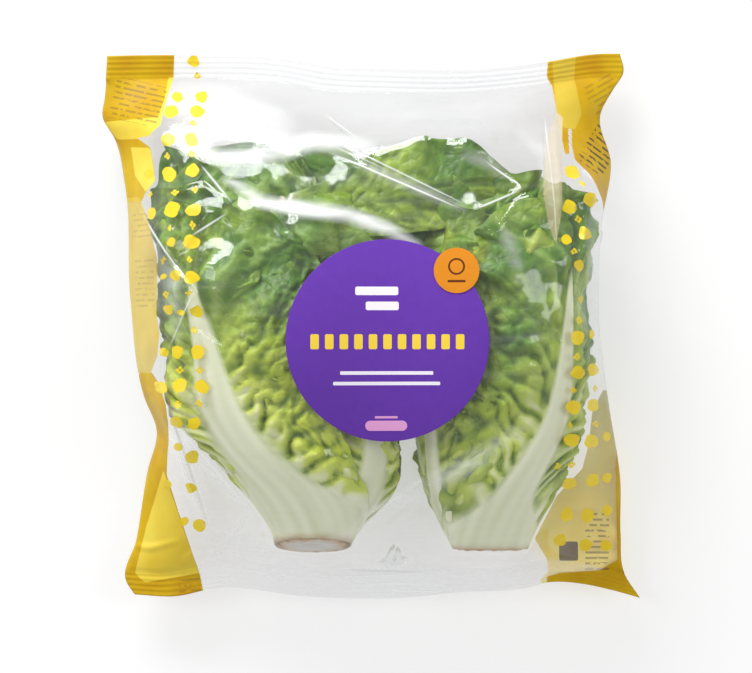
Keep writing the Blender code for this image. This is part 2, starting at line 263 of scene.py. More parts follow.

# Painted highlights along sharp creases, white painted on their crests: both ends, half width and strength.
CREASE_GLINTS = (
    ((-21, 72), (40, 45), 0.8, 1.0), ((-17, 76), (41, 47), 0.6, 0.8), ((-28, 79), (12, 60), 0.6, 0.6),
    ((40, 45.5), (62, 55), 0.7, 0.9), ((62, 55), (44, 68), 0.7, 0.9), ((-70, 66), (-55, 48), 0.8, 0.7),
    ((-73, 35), (-57, 45), 0.7, 0.8), ((-100, 54), (-71, 13), 0.7, 0.8),
    ((-71, 13), (-82, -10), 0.7, 0.7), ((-86, -30), (-46, -80), 0.7, 0.7),
    ((-87, -28), (-68, -86), 0.9, 0.8), ((6, -102), (10, -92), 1.7, 2.2),
    ((12, -101), (11, -93), 1.6, 2.0), ((3, -100), (16, -98), 2.2, 1.4),
    ((-12, -108.5), (38, -109.5), 0.9, 1.9), ((0, -112), (36, -112), 0.8, 1.7),
    ((-14, -103), (26, -104), 0.7, 1.1), ((72, 90), (75, 30), 0.7, 0.7), ((-20, 88), (-5, 76), 0.6, 0.35),
    ((-84, -34), (-50, -76), 0.8, 0.8), ((14, -72), (60, -42), 1.2, 0.4),
)
# Wide bands of painted highlight and painted sheen, where the film would turn to the light: points along
# each, half width and strength.
SHEEN_BANDS = (
    (((-86, 96), (-62, 86), (-30, 75)), 15.0, 0.95),
    (((-60, 60), (-44, 49.5), (-26, 46.0), (-9, 44.0), (7, 38.5), (21, 30.5)), 4.4, 1.6),
    (((-80, 78), (-62, 69), (-42, 69), (-24, 75), (2, 73)), 6.0, 1.0),
    (((-80, -62), (-66, -86), (-40, -99), (-10, -103)), 11.0, 0.5),
    (((-24, 75), (8, 60), (39, 46)), 4.0, 0.45), (((53, 40), (56, 31), (60, 21)), 4.5, 0.4),
    (((-17, -89), (17, -70), (42, -54), (64, -40)), 6.0, 0.55),
    (((-66, -98), (-58, -86), (-48, -76)), 4.0, 0.8), (((-3, -78), (8, -72), (24, -61)), 2.5, 0.7),
    (((-83, -32), (-70, -56), (-46, -78)), 4.5, 0.8), (((4, -101), (10, -97), (16, -98)), 4.0, 0.8),
    (((-30, -103), (8, -105), (42, -104)), 6.0, 0.8), (((-90, -32), (-76, -54), (-66, -86)), 5.0, 0.8),
    (((-96, 40), (-80, 20), (-78, -8)), 6.0, 0.4), (((36, 70), (46, 66), (56, 60)), 4.0, 0.5),
    (((60, 80), (72, 70), (74, 40)), 5.0, 0.35), (((88, 46), (94, 10), (94, -24)), 4.0, 0.4),
)

LABEL_RADIUS = 40.6
LABEL_CENTRE = (6.8, -6.4)
STICKER_RADIUS = 9.1
STICKER_CENTRE = (34.3, 21.6)
PAPER_THICKNESS = 0.18
STUCK_GAP = 0.2

# Print on the film, in mm from the bag's middle: areas of ink by their corners, and dots.
SOLID_INK = (
    ((-113.5, 118.0), (-82.5, 118.0), (-83.0, 103.0), (-85.0, 94.0), (-87.0, 82.5), (-92.0, 78.0),
     (-97.0, 77.5), (-91.0, 73.0), (-89.5, 66.0), (-88.5, 59.0), (-92.5, 54.5), (-95.0, 50.5),
     (-108.0, 51.5), (-116.0, 62.5), (-116.5, 74.0), (-118.5, 85.0)),
    ((75.0, 118.5), (114.0, 118.5), (114.5, 105.0), (108.5, 89.5), (106.5, 75.5), (106.5, 63.0),
     (103.0, 52.5), (98.5, 45.0), (93.5, 55.0), (90.0, 62.0), (84.0, 68.0), (83.2, 74.0), (83.6, 81.5),
     (82.0, 82.0), (81.8, 70.5), (80.0, 70.0), (77.5, 89.0), (76.0, 100.5), (74.0, 104.5)),
    ((-90.0, -19.5), (-86.5, -24.0), (-83.0, -33.0), (-82.5, -39.5), (-84.0, -54.0), (-84.5, -62.0),
     (-82.0, -70.5), (-77.5, -85.0), (-71.5, -105.5), (-69.0, -118.5), (-112.5, -118.5), (-112.5, -98.5),
     (-106.0, -73.5), (-102.0, -52.5), (-100.0, -31.5), (-96.0, -19.5)),
    ((103.5, -44.0), (102.0, -60.5), (103.0, -81.5), (103.5, -98.5), (96.5, -103.0), (79.5, -104.0),
     (74.0, -105.5), (74.0, -119.5), (96.5, -120.0), (120.5, -120.0), (120.0, -98.5), (114.5, -65.0),
     (110.0, -31.5)),
)
CREAM_INK = (
    ((77.0, 89.0), (80.0, 86.5), (78.5, 68.0), (77.0, 44.5), (74.5, 32.0), (71.5, 40.5), (69.5, 52.5),
     (70.5, 63.5), (73.0, 76.5)),
)
LEMON_INK = (
    ((-86.0, -60.0), (-80.0, -78.0), (-72.0, -104.0), (-95.0, -108.0), (-99.0, -104.0), (-94.0, -84.0)),
    ((-112.5, 85.0), (-88.0, 86.0), (-86.0, 94.0), (-85.0, 104.0), (-82.0, 104.0), (-85.0, 84.0),
     (-92.0, 77.0), (-106.0, 77.5)),
    ((-100.0, 74.0), (-91.0, 73.0), (-88.5, 59.0), (-92.5, 54.5), (-98.0, 62.0)),
)
PALE_INK = (
    ((76.0, 118.0), (86.5, 118.0), (85.5, 103.3), (88.0, 88.0), (85.0, 81.5), (80.0, 82.0), (77.5, 89.0)),
    ((-112.0, 53.0), (-96.0, 53.0), (-89.5, 38.0), (-86.5, 27.0), (-87.0, 15.5), (-87.5, 4.0),
     (-86.0, -4.0), (-87.0, -12.5), (-90.5, -20.0), (-110.0, -20.0)),
)
BACK_INK = (
    ((97.0, -27.0), (93.0, -36.0), (91.5, -50.5), (89.0, -60.5), (78.5, -72.0), (69.0, -90.0),
     (74.0, -98.5), (74.5, -103.5), (71.0, -107.0), (79.5, -119.5), (96.5, -120.0), (119.5, -120.0),
     (119.0, -98.5), (114.5, -65.0), (110.0, -31.5)),
)
FRONT_INKS = {"solid_ink": SOLID_INK, "cream_ink": CREAM_INK, "lemon_ink": LEMON_INK, "pale_ink": PALE_INK}
INK_EDGE = 0.3
DOT_THICKNESS = 0.07
# Blocks of thin bars: middle, half size, turn in degrees, strength.
BAR_BLOCKS = (
    ((-97.5, 93.0), (11.0, 9.0), -14.0, 0.6), ((-93.5, 41.0), (5.5, 6.0), 0.0, 0.35),
    ((-93.0, 17.0), (4.6, 10.5), 0.0, 0.35), ((98.0, 96.0), (7.0, 7.5), 30.0, 0.45),
    ((95.0, -91.0), (5.0, 12.5), 0.0, 0.8), ((-76.0, -109.0), (4.5, 3.0), 6.0, 0.5),
    ((96.5, 74.5), (6.5, 11.5), -34.0, 1.25),
)
BAR_PITCH = 2.3
# The one dark block beside them: middle, half size and corner.
DARK_BLOCK = (83.0, -95.0), (4.0, 4.0), 0.8
# Each dot: (X, Y, radius).
DOTS = (
    (-74.5, 111.0, 2.6), (-80.5, 95.0, 2.2), (-70.5, 95.0, 2.7), (-83.0, 88.5, 3.0), (-71.5, 88.0, 2.8),
    (-83.5, 76.0, 3.0), (-73.5, 76.0, 3.0), (-91.5, 62.5, 2.4), (-82.5, 61.5, 3.0), (-72.5, 63.0, 2.9),
    (-90.0, 45.5, 2.4), (-80.5, 46.5, 3.2), (-71.0, 46.0, 2.8), (-80.5, 33.0, 2.2), (-72.0, 33.0, 3.1),
    (-84.0, 19.0, 1.5), (-78.5, 19.0, 2.3), (-71.5, 19.0, 2.8), (-81.5, 6.0, 2.4), (-76.0, 5.0, 1.6),
    (-70.0, 5.0, 2.6), (-84.5, -11.5, 1.8), (-78.0, -11.0, 2.7), (-69.5, -11.0, 2.8), (-85.5, -25.5, 3.2),
    (-77.0, -25.0, 3.0), (-68.0, -25.0, 3.0), (-79.0, -39.5, 2.6), (-71.0, -39.5, 2.8), (-79.0, -50.0, 1.9),
    (-72.5, -54.0, 2.9), (-84.0, -66.0, 2.0), (-74.0, -67.0, 2.4), (-77.0, -82.0, 2.0), (-70.5, -83.0, 2.6),
    (82.5, 62.5, 3.0),
    (89.5, 51.0, 3.0), (80.5, 47.5, 2.8), (86.5, 37.0, 3.0), (79.0, 34.5, 2.3), (84.0, 23.5, 2.3),
    (83.5, -5.5, 2.9), (90.0, -4.0, 1.6), (83.5, -19.5, 2.9), (90.5, -18.5, 2.5), (82.0, -33.5, 3.1),
    (91.0, -33.0, 2.7), (81.5, -47.0, 2.9), (90.5, -47.5, 3.1), (98.0, -46.5, 1.8), (81.0, -65.0, 3.0),
    (91.5, -64.0, 2.9), (98.5, -63.5, 2.2), (81.0, -78.5, 3.0), (90.0, -79.0, 2.8), (98.5, -77.5, 2.2),
    (78.5, -89.5, 2.8), (89.5, -92.0, 2.7), (98.5, -92.5, 2.4),
)
# Each cluster of four small dots: (X, Y), with how far its dots lie from there and their radius.
CLUSTER_REACH = 0.85
CLUSTER_DOT = 0.62
CLUSTERS = (
    (-73.0, 105.0), (-73.0, 83.0), (-84.0, 69.0), (-73.0, 69.5), (-90.5, 53.5), (-80.0, 54.0), (-71.5, 54.5),
    (-81.0, 39.0), (-71.5, 40.0), (-72.5, 26.0), (-83.5, 26.0), (-83.0, 12.0), (-72.5, 12.0), (-71.0, -2.5),
    (-77.0, -18.0), (-68.5, -18.0), (-78.0, -32.0), (-69.5, -32.0), (86.0, 57.5), (84.0, 43.0), (81.5, 29.5),
    (85.0, 10.0), (84.0, 2.0), (83.0, -13.0), (91.5, -26.0), (82.0, -26.5), (81.0, -40.5), (92.0, -41.0),
    (81.5, -57.0), (76.0, -57.5),
)

# The camera looks straight down. PHOTO_MM is what a pixel covers at the height of the seals.
PHOTO_WIDTH, PHOTO_HEIGHT = 752, 673
PHOTO_MIDDLE = (371.0, 325.0)
PHOTO_MM = 0.42
CAMERA_HEIGHT = 1146.0
SENSOR_WIDTH = 36.0

# The film's look: how much it mirrors head on and at its edges, and how white the highlights painted on it
# are, along its creases, seals and bands and in streaks that are partly scuffing and partly painted
# reflection.
FILM_TINT = (0.958, 0.955, 0.960, 1.0)
MIRROR_HEAD_ON = 0.044
MIRROR_AT_EDGES = 0.6
STREAK_SCUFF_AND_SHEEN_WHITE = 0.24
CREASE_GLINT_WHITE = 0.8
SEAL_GLINT_WHITE = 0.3
DOT_COVER = 0.7

# The label's marks, each (middle, half size, corner) in mm from its own middle.
WHITE_BARS = (
    ((-4.4, 19.8), (8.6, 1.7), 0.8), ((-2.2, 13.8), (6.6, 1.7), 0.8), ((-0.4, -13.0), (18.6, 0.7), 0.4),
    ((-0.4, -17.2), (21.4, 0.7), 0.4),
)
PINK_BARS = ((-0.6, -30.8), (4.6, 0.45), 0.3), ((-0.6, -34.2), (8.4, 2.05), 2.0)
YELLOW_ROW = (-0.1, -0.5), (31.2, 4.0), 0.5
YELLOW_BLOCK = (0.0, -0.5), (1.7, 3.0), 0.7
YELLOW_PITCH = 5.8

# Floor and light. Each softbox: its place and size in metres, and its radiance.
FLOOR_REACH = 3000
FLOOR_HEIGHT = -0.4
FLOOR_GLOW = 0.52
WORLD_LIGHT = 0.58
SOFTBOXES = {
    "softbox_back": ((-0.5, 1.2, 0.55), (0.9, 0.45), 15.0),
    "softbox_left": ((-0.95, 0.25, 0.95), (0.4, 0.6), 5.0),
    "softbox_right": ((0.95, 0.15, 0.85), (0.3, 0.6), 5.0),
}


def srgb(red, green, blue):
    """A colour given as 0 to 255, in the linear values that a shader takes."""
    def linear(value):
        value /= 255
        return value / 12.92 if value <= 0.04045 else ((value + 0.055) / 1.055) ** 2.4
    return linear(red), linear(green), linear(blue), 1.0


def curve_through(points, at):
    """A smooth curve through (position, value) points, read at the positions given."""
    place, value = np.array(points, float).T
    slope = np.gradient(value, place)
    at = np.clip(at, place[0], place[-1])
    i = np.clip(np.searchsorted(place, at) - 1, 0, len(place) - 2)
    span = place[i + 1] - place[i]
    t = (at - place[i]) / span
    rise = (3 - 2 * t) * t**2
    return (
        value[i] * (1 - rise) + value[i + 1] * rise
        + span * (slope[i] * t * (1 - t) ** 2 - slope[i + 1] * (1 - t) * t**2)
    )


def smooth_step(value, low, high):
    t = np.clip((value - low) / (high - low), 0, 1)
    return t * t * (3 - 2 * t)


def waves(rng, across, along, length, count=9):
    """Smooth noise of about -1 to 1: a sum of waves of one length running in random directions."""
    total = np.zeros(np.broadcast(across, along).shape)
    for _ in range(count):
        heading, phase = rng.uniform(0, 2 * math.pi, 2)
        size = length * rng.uniform(0.7, 1.4)
        total += np.sin(2 * math.pi * (across * math.cos(heading) + along * math.sin(heading)) / size + phase)
    return total / math.sqrt(count / 2)


# Meshes

def quad_rows(rows, columns, start=0, wrap=False):
    """The faces of a grid of vertices, numbered row by row."""
    index = start + np.arange(rows * columns).reshape(rows, columns)
    if wrap:
        index = np.concatenate([index, index[:, :1]], 1)
    a, b, c, d = index[:-1, :-1], index[1:, :-1], index[1:, 1:], index[:-1, 1:]
    return np.stack([a, b, c, d], -1).reshape(-1, 4)


def rim_of(rows, columns, start=0):
    """The vertices round the edge of a grid, in order."""
    index = start + np.arange(rows * columns).reshape(rows, columns)
    return np.concatenate([index[0, :-1], index[:-1, -1], index[-1, :0:-1], index[:0:-1, 0]])


def sheet_solid(outer, inner):
    """Points and faces of a thin closed solid between two like grids of points."""
    rows, columns = outer.shape[:2]
    count = rows * columns
    upper, lower = rim_of(rows, columns), rim_of(rows, columns, count)
    walls = np.stack([upper, np.roll(upper, -1), np.roll(lower, -1), lower], -1)
    faces = np.concatenate([
        quad_rows(rows, columns),
        quad_rows(rows, columns, count)[:, ::-1],
        walls,
    ])
    return np.concatenate([outer.reshape(-1, 3), inner.reshape(-1, 3)]), faces


def new_piece(name, parts, material, attributes=(), uv_maps=(), poles=False):
    """One mesh object from (points in mm, four-cornered faces) pairs, with its attributes by vertex.

    With poles, the points of each ring that has shrunk to nothing become one.
    """
    starts = np.cumsum([0] + [len(points) for points, _ in parts[:-1]])
    points = np.concatenate([points for points, _ in parts]) * MM
    faces = np.concatenate([faces + start for (_, faces), start in zip(parts, starts)])
    mesh = bpy.data.meshes.new(name)
    mesh.vertices.add(len(points))
    mesh.vertices.foreach_set("co", points.astype(np.float32).ravel())
    mesh.loops.add(faces.size)
    mesh.loops.foreach_set("vertex_index", faces.astype(np.int32).ravel())
    mesh.polygons.add(len(faces))
    mesh.polygons.foreach_set("loop_start", np.arange(0, faces.size, 4, dtype=np.int32))
    mesh.update(calc_edges=True)
    for key, values in attributes:
        layer = mesh.attributes.new(key, "FLOAT", "POINT")
        layer.data.foreach_set("value", np.asarray(values, np.float32).ravel())
    for key, values in uv_maps:
        layer = mesh.uv_layers.new(name=key)
        layer.data.foreach_set("uv", np.asarray(values, np.float32)[faces.ravel()].ravel())
    if poles:
        edit = bmesh.new()
        edit.from_mesh(mesh)
        bmesh.ops.remove_doubles(edit, verts=edit.verts, dist=1e-7)
        edit.to_mesh(mesh)
        edit.free()
    mesh.shade_smooth()
    mesh.materials.append(material)
    piece = bpy.data.objects.new(name, mesh)
    bpy.context.scene.collection.objects.link(piece)
    return piece


# Hearts

def heart_point(heart, angle, y, depth):
    """A point depth mm under a heart's outer hull, at an angle round its axis, and the way out of it."""
    width = curve_through(heart["half_width"], y)
    thickness = curve_through(heart["half_thickness"], y)
    cosine, sine = np.cos(angle), np.sin(angle)
    thickness = np.where(sine < 0, UNDERSIDE_PRESS, 1.0) * thickness
    power = SECTION_ROUNDNESS
    radius = (np.abs(cosine / width) ** power + np.abs(sine / thickness) ** power) ** (-1 / power)
    x, z = radius * cosine, radius * sine
    out_x = np.sign(x) * np.abs(x / width) ** (power - 1) / width
    out_z = np.sign(z) * np.abs(z / thickness) ** (power - 1) / thickness
    length = np.hypot(out_x, out_z)
    out_x, out_z = out_x / length, out_z / length
    x = curve_through(heart["axis"], y) + x - depth * out_x
    z = curve_through(heart["height"], y) + z - depth * out_z
    return x, z, out_x, out_z


def finished_points(heart, x, y, z, depth):
    """Points with the heart's underside pressed flat and its foot cut on the slant."""
    ground = REST_HEIGHT + depth * 0.6
    z = ground + 1.2 * np.logaddexp(0, (z - ground) / 1.2)
    above = z - curve_through(heart["height"], y)
    slant = heart["slant"] * np.clip((heart["cut"] + CUT_SLANT_REACH - y) / CUT_SLANT_REACH, 0, 1)
    y = y + slant * above
    if "swing" in heart:
        (pivot_x, pivot_y), degrees = heart["swing"]
        cosine, sine = math.cos(math.radians(degrees)), math.sin(math.radians(degrees))
        dx, dy = x - pivot_x, y - pivot_y
        x, y = pivot_x + cosine * dx - sine * dy, pivot_y + sine * dx + cosine * dy
    return np.stack([x, y, z], -1)


def leaf_outline(a, pointed):
    """The leaf's half width along its length, as a share of its widest."""
    grown = 0.58 + 0.42 * smooth_step(a, 0.0, 0.45)
    past = np.clip(a - 0.55, 0, 1) / 0.45
    if pointed:
        return grown * np.clip(1 - past ** 1.7, 0.012, 1) ** 0.72
    return grown * np.sqrt(np.clip(1 - past ** 2.4, 0.0016, 1))


def vein_root(s, away, length):
    """Where on the rib the side vein through each spot starts. Veins stand steeper nearer the tip."""
    low, high = s - 3.0 * away, s + 0 * away
    for _ in range(16):
        root = (low + high) / 2
        reach = root + (VEIN_FAN + VEIN_STEEPENING * smooth_step(root / length, 0.35, 0.68)) * away
        low, high = np.where(reach < s, root, low), np.where(reach < s, high, root)
    return root


def leaf_parts(heart, leaf, grid, rng):
    """One leaf wrapped round a heart: its solid, and its attributes by vertex."""
    leaf = dict(zip(LEAF_KEYS, leaf))
    body_rows = np.linspace(0, 0.9, grid[0] - TIP_ROWS)
    tip_rows = 0.9 + 0.1 * np.sin(np.linspace(0, math.pi / 2, TIP_ROWS + 1)[1:])
    a = np.concatenate([body_rows, tip_rows])[:, None]
    b = np.linspace(-1, 1, grid[1])[None, :]
    s = a * (leaf["tip"] - leaf["base"]) + 0 * b
    loose = leaf["rib"] < 5
    edge_wave = 1 + 0.05 * waves(rng, s, np.sign(b) * 40.0, 38.0, 5)
    half = leaf["half_width"] * leaf_outline(a, loose) * edge_wave
    v = b * half
    away, side = np.abs(v), np.sign(v)

    # The rib is the whole width of the foot, then narrows to a thread, and stays clear of the tip.
    foot = np.exp(-((a / 0.08) ** 2))
    rib_half = 0.8 + leaf["rib"] * np.clip(1 - a / RIB_END, 0, 1) ** 1.2 * (1 + 1.1 * foot)
    rib = np.exp(-(np.clip(away / rib_half, 0, 6)) ** 4) * smooth_step(0.88 - a, 0, 0.2)
    rib = rib * min(leaf["rib"] / 6, 1)
    blade = smooth_step(away, 0.7 * rib_half, 1.2 * rib_half + 2.5) * (1 - foot)

    # Side veins fan out from the rib with the blade bulging between them, broken up by cross veins.
    outwards = smooth_step(away - 0.8 * rib_half, 4.0, 24.0)
    warp = (0.34 * waves(rng, v, s, 34.0) + 0.18 * waves(rng, v, s, 13.0)) * (0.65 + 0.5 * outwards)
    length = leaf["tip"] - leaf["base"]
    root = vein_root(s, away - 12 * smooth_step(away, 12, 40), length)
    upper = smooth_step(root / length, 0.38, 0.6)
    widening = 3.2 * np.logaddexp(0, (root - WIDER_VEINS_ABOVE * length) / 6)
    fold_phase = (root - widening) / VEIN_PITCH + 0.5 * (side > 0)
    fold_phase = fold_phase + warp * (1 - 0.55 * upper)
    from_vein = np.abs(np.mod(fold_phase + 0.5, 1) - 0.5) * VEIN_PITCH
    folds = np.abs(np.sin(math.pi * fold_phase)) ** 0.7
    cross = np.abs(np.sin(math.pi * (away / CROSS_VEIN_PITCH + 0.37 * np.floor(fold_phase)
                                     + 0.3 * waves(rng, v, s, 21.0)))) ** 0.7
    quilt = folds * (1 - (0.5 - 0.3 * upper) * outwards * (1 - cross))
    fine = waves(rng, v, s, 5.0, 12)
    blisters = (2.2 * np.abs(waves(rng, v * 0.7, s * 1.2, 12.0, 14)) - 0.8) * (1 - 0.6 * upper)
    fibres = waves(rng, v, s / 12.0, 6.0, 12)
    calm = 1 - 0.55 * smooth_step(a, 0.5, 0.85)
    patchy = 0.75 + 0.4 * waves(rng, v, s, 44.0)
    relief = leaf["crinkle"] * calm * np.clip(patchy, 0.25, 1.3) * blade * (quilt - 0.4 + 0.17 * blisters)
    ridge = upper * blade * np.exp(-((from_vein / (0.7 + 1.1 * upper)) ** 2))
    ridge = ridge * smooth_step(60 - away, 0, 30) * min(leaf["rib"] / 9, 1)
    relief = relief * (1 - 0.5 * upper) + RIDGE_RISE * ridge
    lobes = 1.2 * waves(rng, v, s, 46.0) + 1.3 * smooth_step(a, 0.4, 0.75) * waves(rng, v, s, 23.0)
    relief += (0.15 * fine + lobes) * blade

    edge = np.maximum(np.abs(b) ** 3 * smooth_step(a, 0.12, 0.4), smooth_step(a, 0.86, 1.0))
    ruffle_phase = 2 * math.pi * (s + 0.4 * away) / RUFFLE_LENGTH + 2.0 * side + 1.6 * waves(rng, v, s, 50.0)
    relief += leaf["ruffle"] * edge * (0.45 * np.sin(ruffle_phase) + 0.1)
    relief += leaf["flare"] * smooth_step(a, 0.55, 1.0)
    relief += rib * (RIB_THICKNESS * 0.45 * (1 - 0.6 * a) * (1 - 0.6 * foot) + 0.05 * fibres)

    slant = VEIN_SLANT * smooth_step(a, 0.0, 0.16) * np.sqrt(np.clip(1 - a, 0, 1))
    y = leaf["base"] + s + slant * away + 1.6 * edge * np.cos(ruffle_phase)
    mean_radius = np.sqrt((curve_through(heart["half_width"], y) ** 2
                           + curve_through(heart["half_thickness"], y) ** 2) / 2)
    angle = np.radians(curve_through(leaf["path"], a)) + v / np.maximum(mean_radius - leaf["depth"], 12)
    angle = angle + 0.05 * waves(rng, v, s, 60.0) * smooth_step(a, 0.3, 0.8)
    in_from_hull = leaf["depth"] * (0.22 + 0.78 * smooth_step(y - heart["cut"], 0, 55)) + 1.2
    x, z, out_x, out_z = heart_point(heart, angle, y, in_from_hull)

    thickness = BLADE_THICKNESS + RIB_THICKNESS * rib * np.clip(1 - 1.15 * a, 0.06, 1)
    outer = finished_points(heart, x + relief * out_x, y, z + relief * out_z, in_from_hull)
    lower = relief - thickness
    inner = finished_points(heart, x + lower * out_x, y, z + lower * out_z, in_from_hull + 0.6)
    inner[..., 2] = np.where(out_z < -0.5, np.maximum(inner[..., 2], outer[..., 2] + 0.35), inner[..., 2])

    thread = np.exp(-((from_vein / 0.7) ** 2))
    vein = (1 - upper) * blade * (0.62 * (1 - outwards) * folds ** 2 + 0.3 * outwards * thread)
    vein = vein * min(0.2 + 0.3 * leaf["crinkle"], 1)
    evenness = min(0.3 + 0.25 * leaf["crinkle"], 1) * (1 - 0.45 * upper)
    foot_green = heart.get("foot_green", LOOSE_FOOT_GREEN)
    # crest: partly the leaf's own paler folds and veins, partly painted shade that darkens the valleys
    # between them.
    on_rib = 0.6 + 0.14 * fibres
    on_blade = 0.6 + evenness * (quilt * (0.6 + 0.4 * blade) + 0.22 * blisters - 0.62)
    on_blade = on_blade + 0.6 * ridge + 0.08 * fine
    attributes = {
        "rib": np.clip(rib + 0.8 * foot + vein * smooth_step(0.9 - a, 0, 0.5)
                       + 0.45 * np.clip(1.6 * ridge, 0, 1) * smooth_step(0.97 - a, 0, 0.25), 0, 1),
        "crest": np.clip(np.where(rib > 0.5, on_rib, on_blade), 0, 1),
        "green": np.clip(leaf["green"] * (foot_green + (1 - foot_green) * smooth_step(a, 0.35, 0.74))
                         + 0.12 * waves(rng, v, s, 40.0) + 0.14 * (outwards - 0.5), 0, 1),
        "foot": np.clip(1 - s / 2.5, 0, 1) + 0 * b,
    }
    solid = sheet_solid(outer, inner)
    return solid, {key: np.tile(np.broadcast_to(value, outer.shape[:2]).ravel(), 2)
                   for key, value in attributes.items()}


def leaf_piece(name, heart, leaf, layer, material, seed):
    solid, values = leaf_parts(heart, leaf, LEAF_GRIDS[layer], np.random.default_rng(seed))
    return new_piece(name, [solid], material, values.items())


def core_piece(name, heart, material, seed):
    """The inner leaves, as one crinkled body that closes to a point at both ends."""
    rng = np.random.default_rng(seed)
    rows, columns = 110, 130
    t = np.linspace(0, 1, rows)[:, None]
    angle = np.linspace(0, 2 * math.pi, columns, endpoint=False)[None, :]
    y = heart["cut"] + CORE_FROM + (CORE_TO - CORE_FROM) * t + 0 * angle
    closing = np.sqrt(np.clip(1 - (2 * t - 1) ** 6, 0, 1))
    x, z, out_x, out_z = heart_point(heart, angle, y, CORE_DEPTH)
    axis, height = curve_through(heart["axis"], y), curve_through(heart["height"], y)
    relief = 1.3 * waves(rng, angle * 30, y, 18.0) + 0.6 * waves(rng, angle * 30, y, 7.0)
    x = axis + (x - axis + relief * out_x) * closing
    z = height + (z - height + relief * out_z) * closing
    points = finished_points(heart, x, y, z, CORE_DEPTH - 1 + 0 * x)
    count = rows * columns
    # Painted shade: crest falls in the hollows of the crinkles, so they take the leaf's darker low colours.
    attributes = [("rib", np.zeros(count)), ("crest", np.clip(0.5 + 0.4 * relief, 0, 1)),
                  ("green", np.full(count, 0.5)), ("foot", np.zeros(count))]
    faces = quad_rows(rows, columns, wrap=True)
    return new_piece(name, [(points.reshape(-1, 3), faces)], material, attributes, poles=True)


def stem_piece(name, heart, material, seed):
    """The cut stem: a short plug between the leaf bases, closed by its cut face and an inner end."""
    rng = np.random.default_rng(seed)
    columns = 96
    angle = np.linspace(0, 2 * math.pi, columns, endpoint=False)[None, :]
    face = np.linspace(0, 1, 22)[:, None]
    wall = np.linspace(0, 1, 12)[1:, None]
    back = np.linspace(1, 0, 8)[1:, None]
    share = np.concatenate([face, np.ones_like(wall), back])
    along = np.concatenate([np.zeros_like(face), wall, np.ones_like(back)])
    rounded = 0.5 * smooth_step(share, 0.93, 1.0) * (along == 0)
    y = heart["cut"] - 0.4 + STEM_LENGTH * along + rounded + 0 * angle
    x, z, _, _ = heart_point(heart, angle + 0 * y, y, STEM_DEPTH)
    axis, height = curve_through(heart["axis"], y), curve_through(heart["height"], y)
    x, z = axis + (x - axis) * share, height + (z - height) * share
    y = y + 0.22 * waves(rng, x, z, 5.0) * (along == 0)
    points = finished_points(heart, x, y, z, 1.5 + 0 * x)
    cut = (along == 0) * np.ones_like(x)
    attributes = [("cut", cut), ("from_middle", share * np.ones_like(x))]
    faces = quad_rows(share.shape[0], columns, wrap=True)[:, ::-1]
    return new_piece(name, [(points.reshape(-1, 3), faces)], material, attributes, poles=True)


# Film

def film_plan():
    """The plan position of each grid point, rows from the bottom seal to the top one."""
    u = np.linspace(-1, 1, CELLS_ACROSS + 1)
    seal = SEAL_WIDTH / (TOP_END[0][1] - BOTTOM_END[0][1])
    v = np.concatenate([
        np.linspace(0, seal, CELLS_IN_SEAL + 1)[:-1],
        np.linspace(seal, 1 - seal, CELLS_ALONG + 1),
        np.linspace(1 - seal, 1, CELLS_IN_SEAL + 1)[1:],
    ])
    u, v = np.meshgrid(u, v)
    across = u * RIGHT_SIDE[0][1]
    low, high = curve_through(BOTTOM_END, across), curve_through(TOP_END, across)
    y = low + v * (high - low)
    left, right = curve_through(LEFT_SIDE, y), curve_through(RIGHT_SIDE, y)
    return left + (u + 1) / 2 * (right - left), y


def resampled(grid, shape):
    """A grid of values read at another number of evenly spaced rows and columns."""
    r = np.linspace(0, grid.shape[0] - 1, shape[0])
    c = np.linspace(0, grid.shape[1] - 1, shape[1])
    i, j = np.minimum(r.astype(int), grid.shape[0] - 2), np.minimum(c.astype(int), grid.shape[1] - 2)
    fr, fc = (r - i)[:, None], (c - j)[None, :]
    i, j = i[:, None], j[None, :]
    return ((1 - fr) * ((1 - fc) * grid[i, j] + fc * grid[i, j + 1])
            + fr * ((1 - fc) * grid[i + 1, j] + fc * grid[i + 1, j + 1]))


def settled(film, held, low, high, puff):
    """Film pulled tight between the points that hold it, over low and under high, solved coarse to fine."""
    solved = None
    for step, rounds in ((8, 900), (4, 700), (2, 500), (1, 260)):
        shape = (film.shape[0] - 1) // step + 1, (film.shape[1] - 1) // step + 1
        start = resampled(film, shape)
        fixed = resampled(held.astype(float), shape) > 0.5
        under, over = resampled(low, shape), resampled(high, shape)
        now = start if solved is None else np.where(fixed, start, resampled(solved, shape))
        for _ in range(rounds):
            mean = (now[:-2, 1:-1] + now[2:, 1:-1] + now[1:-1, :-2] + now[1:-1, 2:]) / 4 + puff * step**2
            free = np.clip(mean, under[1:-1, 1:-1], over[1:-1, 1:-1])
            now[1:-1, 1:-1] = np.where(fixed[1:-1, 1:-1], now[1:-1, 1:-1], free)
        solved = now
    return solved


def eased(height, times):
    """The same surface with its steps rounded off."""
    height = height.copy()
    for _ in range(times):
        inner = (height[:-2, 1:-1] + height[2:, 1:-1] + height[1:-1, :-2] + height[1:-1, 2:]) / 4
        height[1:-1, 1:-1] = (height[1:-1, 1:-1] + inner) / 2
    return height


def spread_max(grid, times):
    for _ in range(times):
        padded = np.pad(grid, 1, mode="edge")
        shifts = [padded[i:i + grid.shape[0], j:j + grid.shape[1]] for i in range(3) for j in range(3)]
        grid = np.max(shifts, 0)
    return grid


